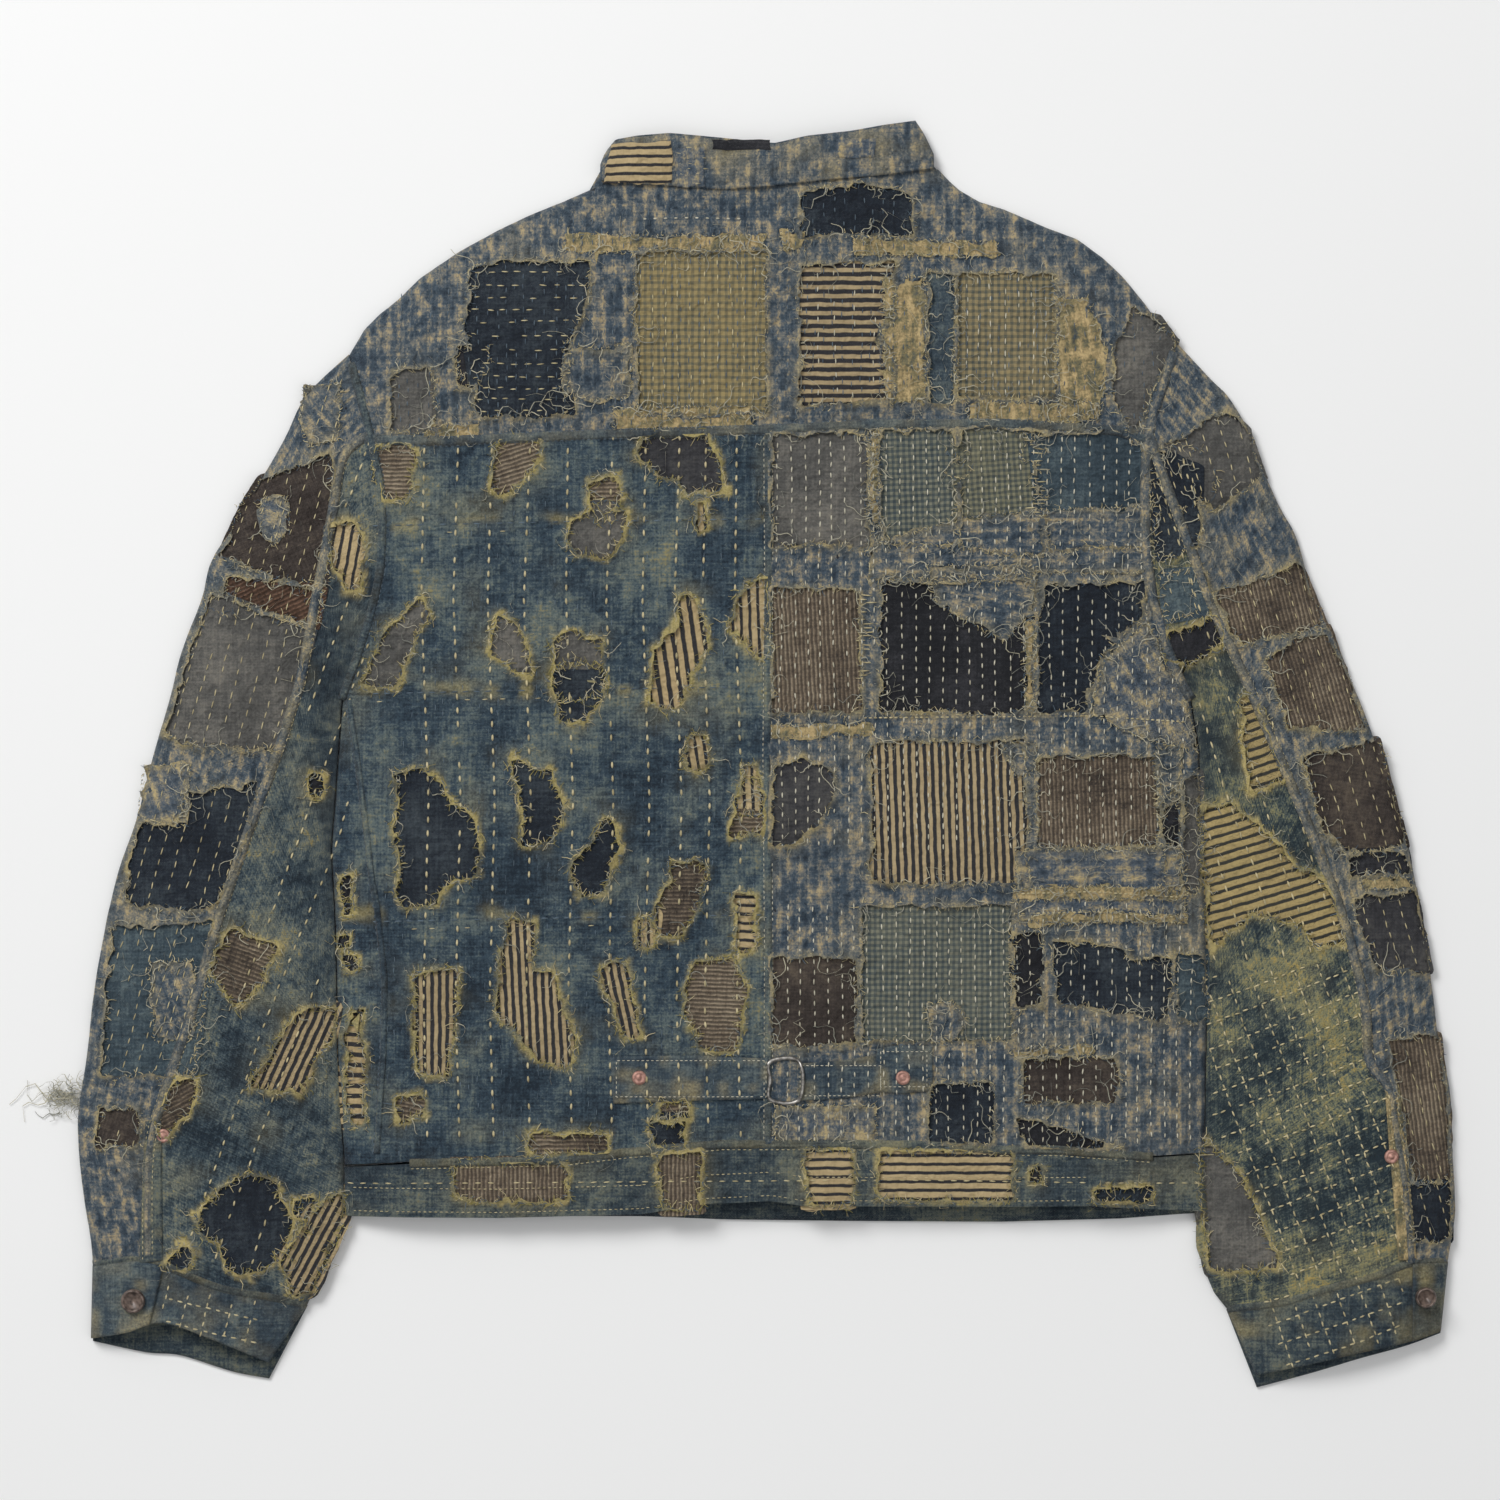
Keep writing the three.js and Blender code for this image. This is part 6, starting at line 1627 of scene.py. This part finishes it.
for label, start in (("yoke", "patch_yoke"), ("backRight", "patch_back"), ("sleeveLeftOuter", "patch_sleeve_left"),
                     ("sleeveRightOuter", "patch_sleeve_right")):
    piece = veilPieces[label][0]
    names = [n for n in frame["nodes"] if n.startswith(start)]
    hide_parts(*names)

stage = bmesh.new()
bmesh.ops.create_grid(stage, x_segments=1, y_segments=1, size=4.0)
bmesh.ops.translate(stage, verts=stage.verts[:], vec=(0, 0, -0.0006))
floorMesh = bpy.data.meshes.new("floor")
stage.to_mesh(floorMesh)
stage.free()
floor = bpy.data.objects.new("floor", floorMesh)
scene.collection.objects.link(floor)
paper = bpy.data.materials.new("paper sweep")   # matt white paper, so only soft shadows show
paper.use_nodes = True
matt = paper.node_tree.nodes["Principled BSDF"].inputs
matt["Base Color"].default_value = toLinear("#f7f7f6")
matt["Roughness"].default_value = 0.95
floorMesh.materials.append(paper)
floor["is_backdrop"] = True

lightSettings = dict(key=dict(at=(-1.9, 2.5, 3.2), size=1.8, power=128),
                     fill=dict(at=(1.3, -0.7, 2.6), size=3.0, power=10),
                     top=dict(at=(0.0, 0.0, 3.4), size=3.0, power=12))
for name, s in lightSettings.items():
    data = bpy.data.lights.new(name, "AREA")
    data.size, data.energy = s["size"], s["power"]
    lamp = bpy.data.objects.new(name, data)
    lamp.location = s["at"]
    aim = -np.array(s["at"])
    lamp.rotation_euler = (math.acos(-aim[2] / np.linalg.norm(aim)), 0, math.atan2(-aim[0], aim[1]))
    scene.collection.objects.link(lamp)
world = bpy.data.worlds.new("studio")
scene.world = world
world.use_nodes = True
world.node_tree.nodes["Background"].inputs["Color"].default_value = toLinear("#f4f5f7")
world.node_tree.nodes["Background"].inputs["Strength"].default_value = 0.36

scene.view_settings.view_transform = "Standard"    # plain tone curve, so that white paper stays white
cameraSettings = dict(lens=135, distance=3.515, middle=(750, 750))
cameraData = bpy.data.cameras.new("camera")
cameraData.lens, cameraData.sensor_width = cameraSettings["lens"], 36
cameraData.clip_end = 20
camera = bpy.data.objects.new("camera", cameraData)
spot = toFrame(np.r_[fromPhoto([cameraSettings["middle"]])[0], 0])
camera.location = (spot[0], spot[1], cameraSettings["distance"])
scene.collection.objects.link(camera)
scene.camera = camera


def fraysOf(area):
    # the loose threads and stitches of one area; the left back names its stitches in the table
    names = ["fray" + area + c for c in ("Green", "Blue", "Cream")] + ["curls" + area]
    if area != "BackLeft":
        names += ["stitches" + area + c for c in ("Cream", "Blue", "White")]
    return [o.name for o in bpy.data.objects if o.name in names]


cutSizes = dict(
    # width and length in metres, flat area in square metres, what goes with it, what it lies on
    frontLeft=(0.29, 0.61, 0.151, [], []),
    frontRight=(0.29, 0.61, 0.151, [], []),
    backLeftBase=(0.275, 0.465, 0.118, ["backLeftPatches"], ["frontLeft"]),
    backLeftTorn=(0.275, 0.465, 0.095, ["seams", "stitchesBackLeftCream", "stitchesBackLeftBlue", "curlsTorn"]
                  + fraysOf("BackLeft"), ["backLeftBase"]),
    backRightBase=(0.275, 0.465, 0.118, ["backRightPatches"], ["frontRight"]),
    backRightVeil=(0.275, 0.465, 0.057, ["backRightTongues"] + fraysOf("BackRight"), ["backRightBase"]),
    yokeBase=(0.52, 0.175, 0.070, ["yokePatches"], ["frontLeft", "frontRight"]),
    yokeVeil=(0.52, 0.175, 0.042, ["yokeTongues"] + fraysOf("Yoke"), ["yokeBase"]),
    sleeveLeftOuterBase=(0.16, 0.60, 0.085, ["sleeveLeftOuterPatches"], []),
    sleeveLeftOuterVeil=(0.075, 0.60, 0.016, ["sleeveLeftOuterTongues", "looseYarn", "looseYarnEnds"]
                         + fraysOf("SleeveLeftOuter"), ["sleeveLeftOuterBase"]),
    sleeveLeftUnderBase=(0.12, 0.56, 0.059, ["sleeveLeftUnderPatches"], []),
    sleeveLeftTorn=(0.085, 0.56, 0.029, fraysOf("SleeveLeft"), ["sleeveLeftUnderBase"]),
    sleeveRightOuterBase=(0.15, 0.60, 0.078, ["sleeveRightOuterPatches"], []),
    sleeveRightOuterVeil=(0.075, 0.60, 0.016, ["sleeveRightOuterTongues"] + fraysOf("SleeveRightOuter"),
                          ["sleeveRightOuterBase"]),
    sleeveRightUnderBase=(0.13, 0.56, 0.064, ["sleeveRightUnderPatches"], []),
    sleeveRightTorn=(0.09, 0.56, 0.033, fraysOf("SleeveRight"), ["sleeveRightUnderBase"]),
    waistCloth=(0.54, 0.10, 0.043, ["bandPatches"], []),
    bandTorn=(0.54, 0.048, 0.014, fraysOf("Band"), ["waistCloth"]),
    collarLeafLeft=(0.11, 0.134, 0.008, [], []),
    collarLeafRight=(0.11, 0.134, 0.008, [], []),
    collar=(0.21, 0.09, 0.013, ["collarPatches"], ["collarLeafLeft", "collarLeafRight"]),
    cuffLeft=(0.14, 0.12, 0.0138, [], []),
    cuffRight=(0.14, 0.12, 0.0138, [], []),
    cinchStrapLeft=(0.03, 0.099, 0.0029, [], ["backLeftTorn"]),
    cinchStrapRight=(0.03, 0.054, 0.0014, [], ["backRightVeil"]),
    cinchStrapEnd=(0.031, 0.036, 0.0011, [], ["backRightVeil"]),
    placketLeft=(0.015, 0.089, 0.0012, [], ["sleeveLeftOuterVeil"]),
    placketRight=(0.015, 0.10, 0.0013, [], ["sleeveRightOuterVeil"]),
)

bpy.context.view_layer.update()
low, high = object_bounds()
dict(cad=[list(cadLow), list(cadHigh)], visual=[list(low), list(high)])
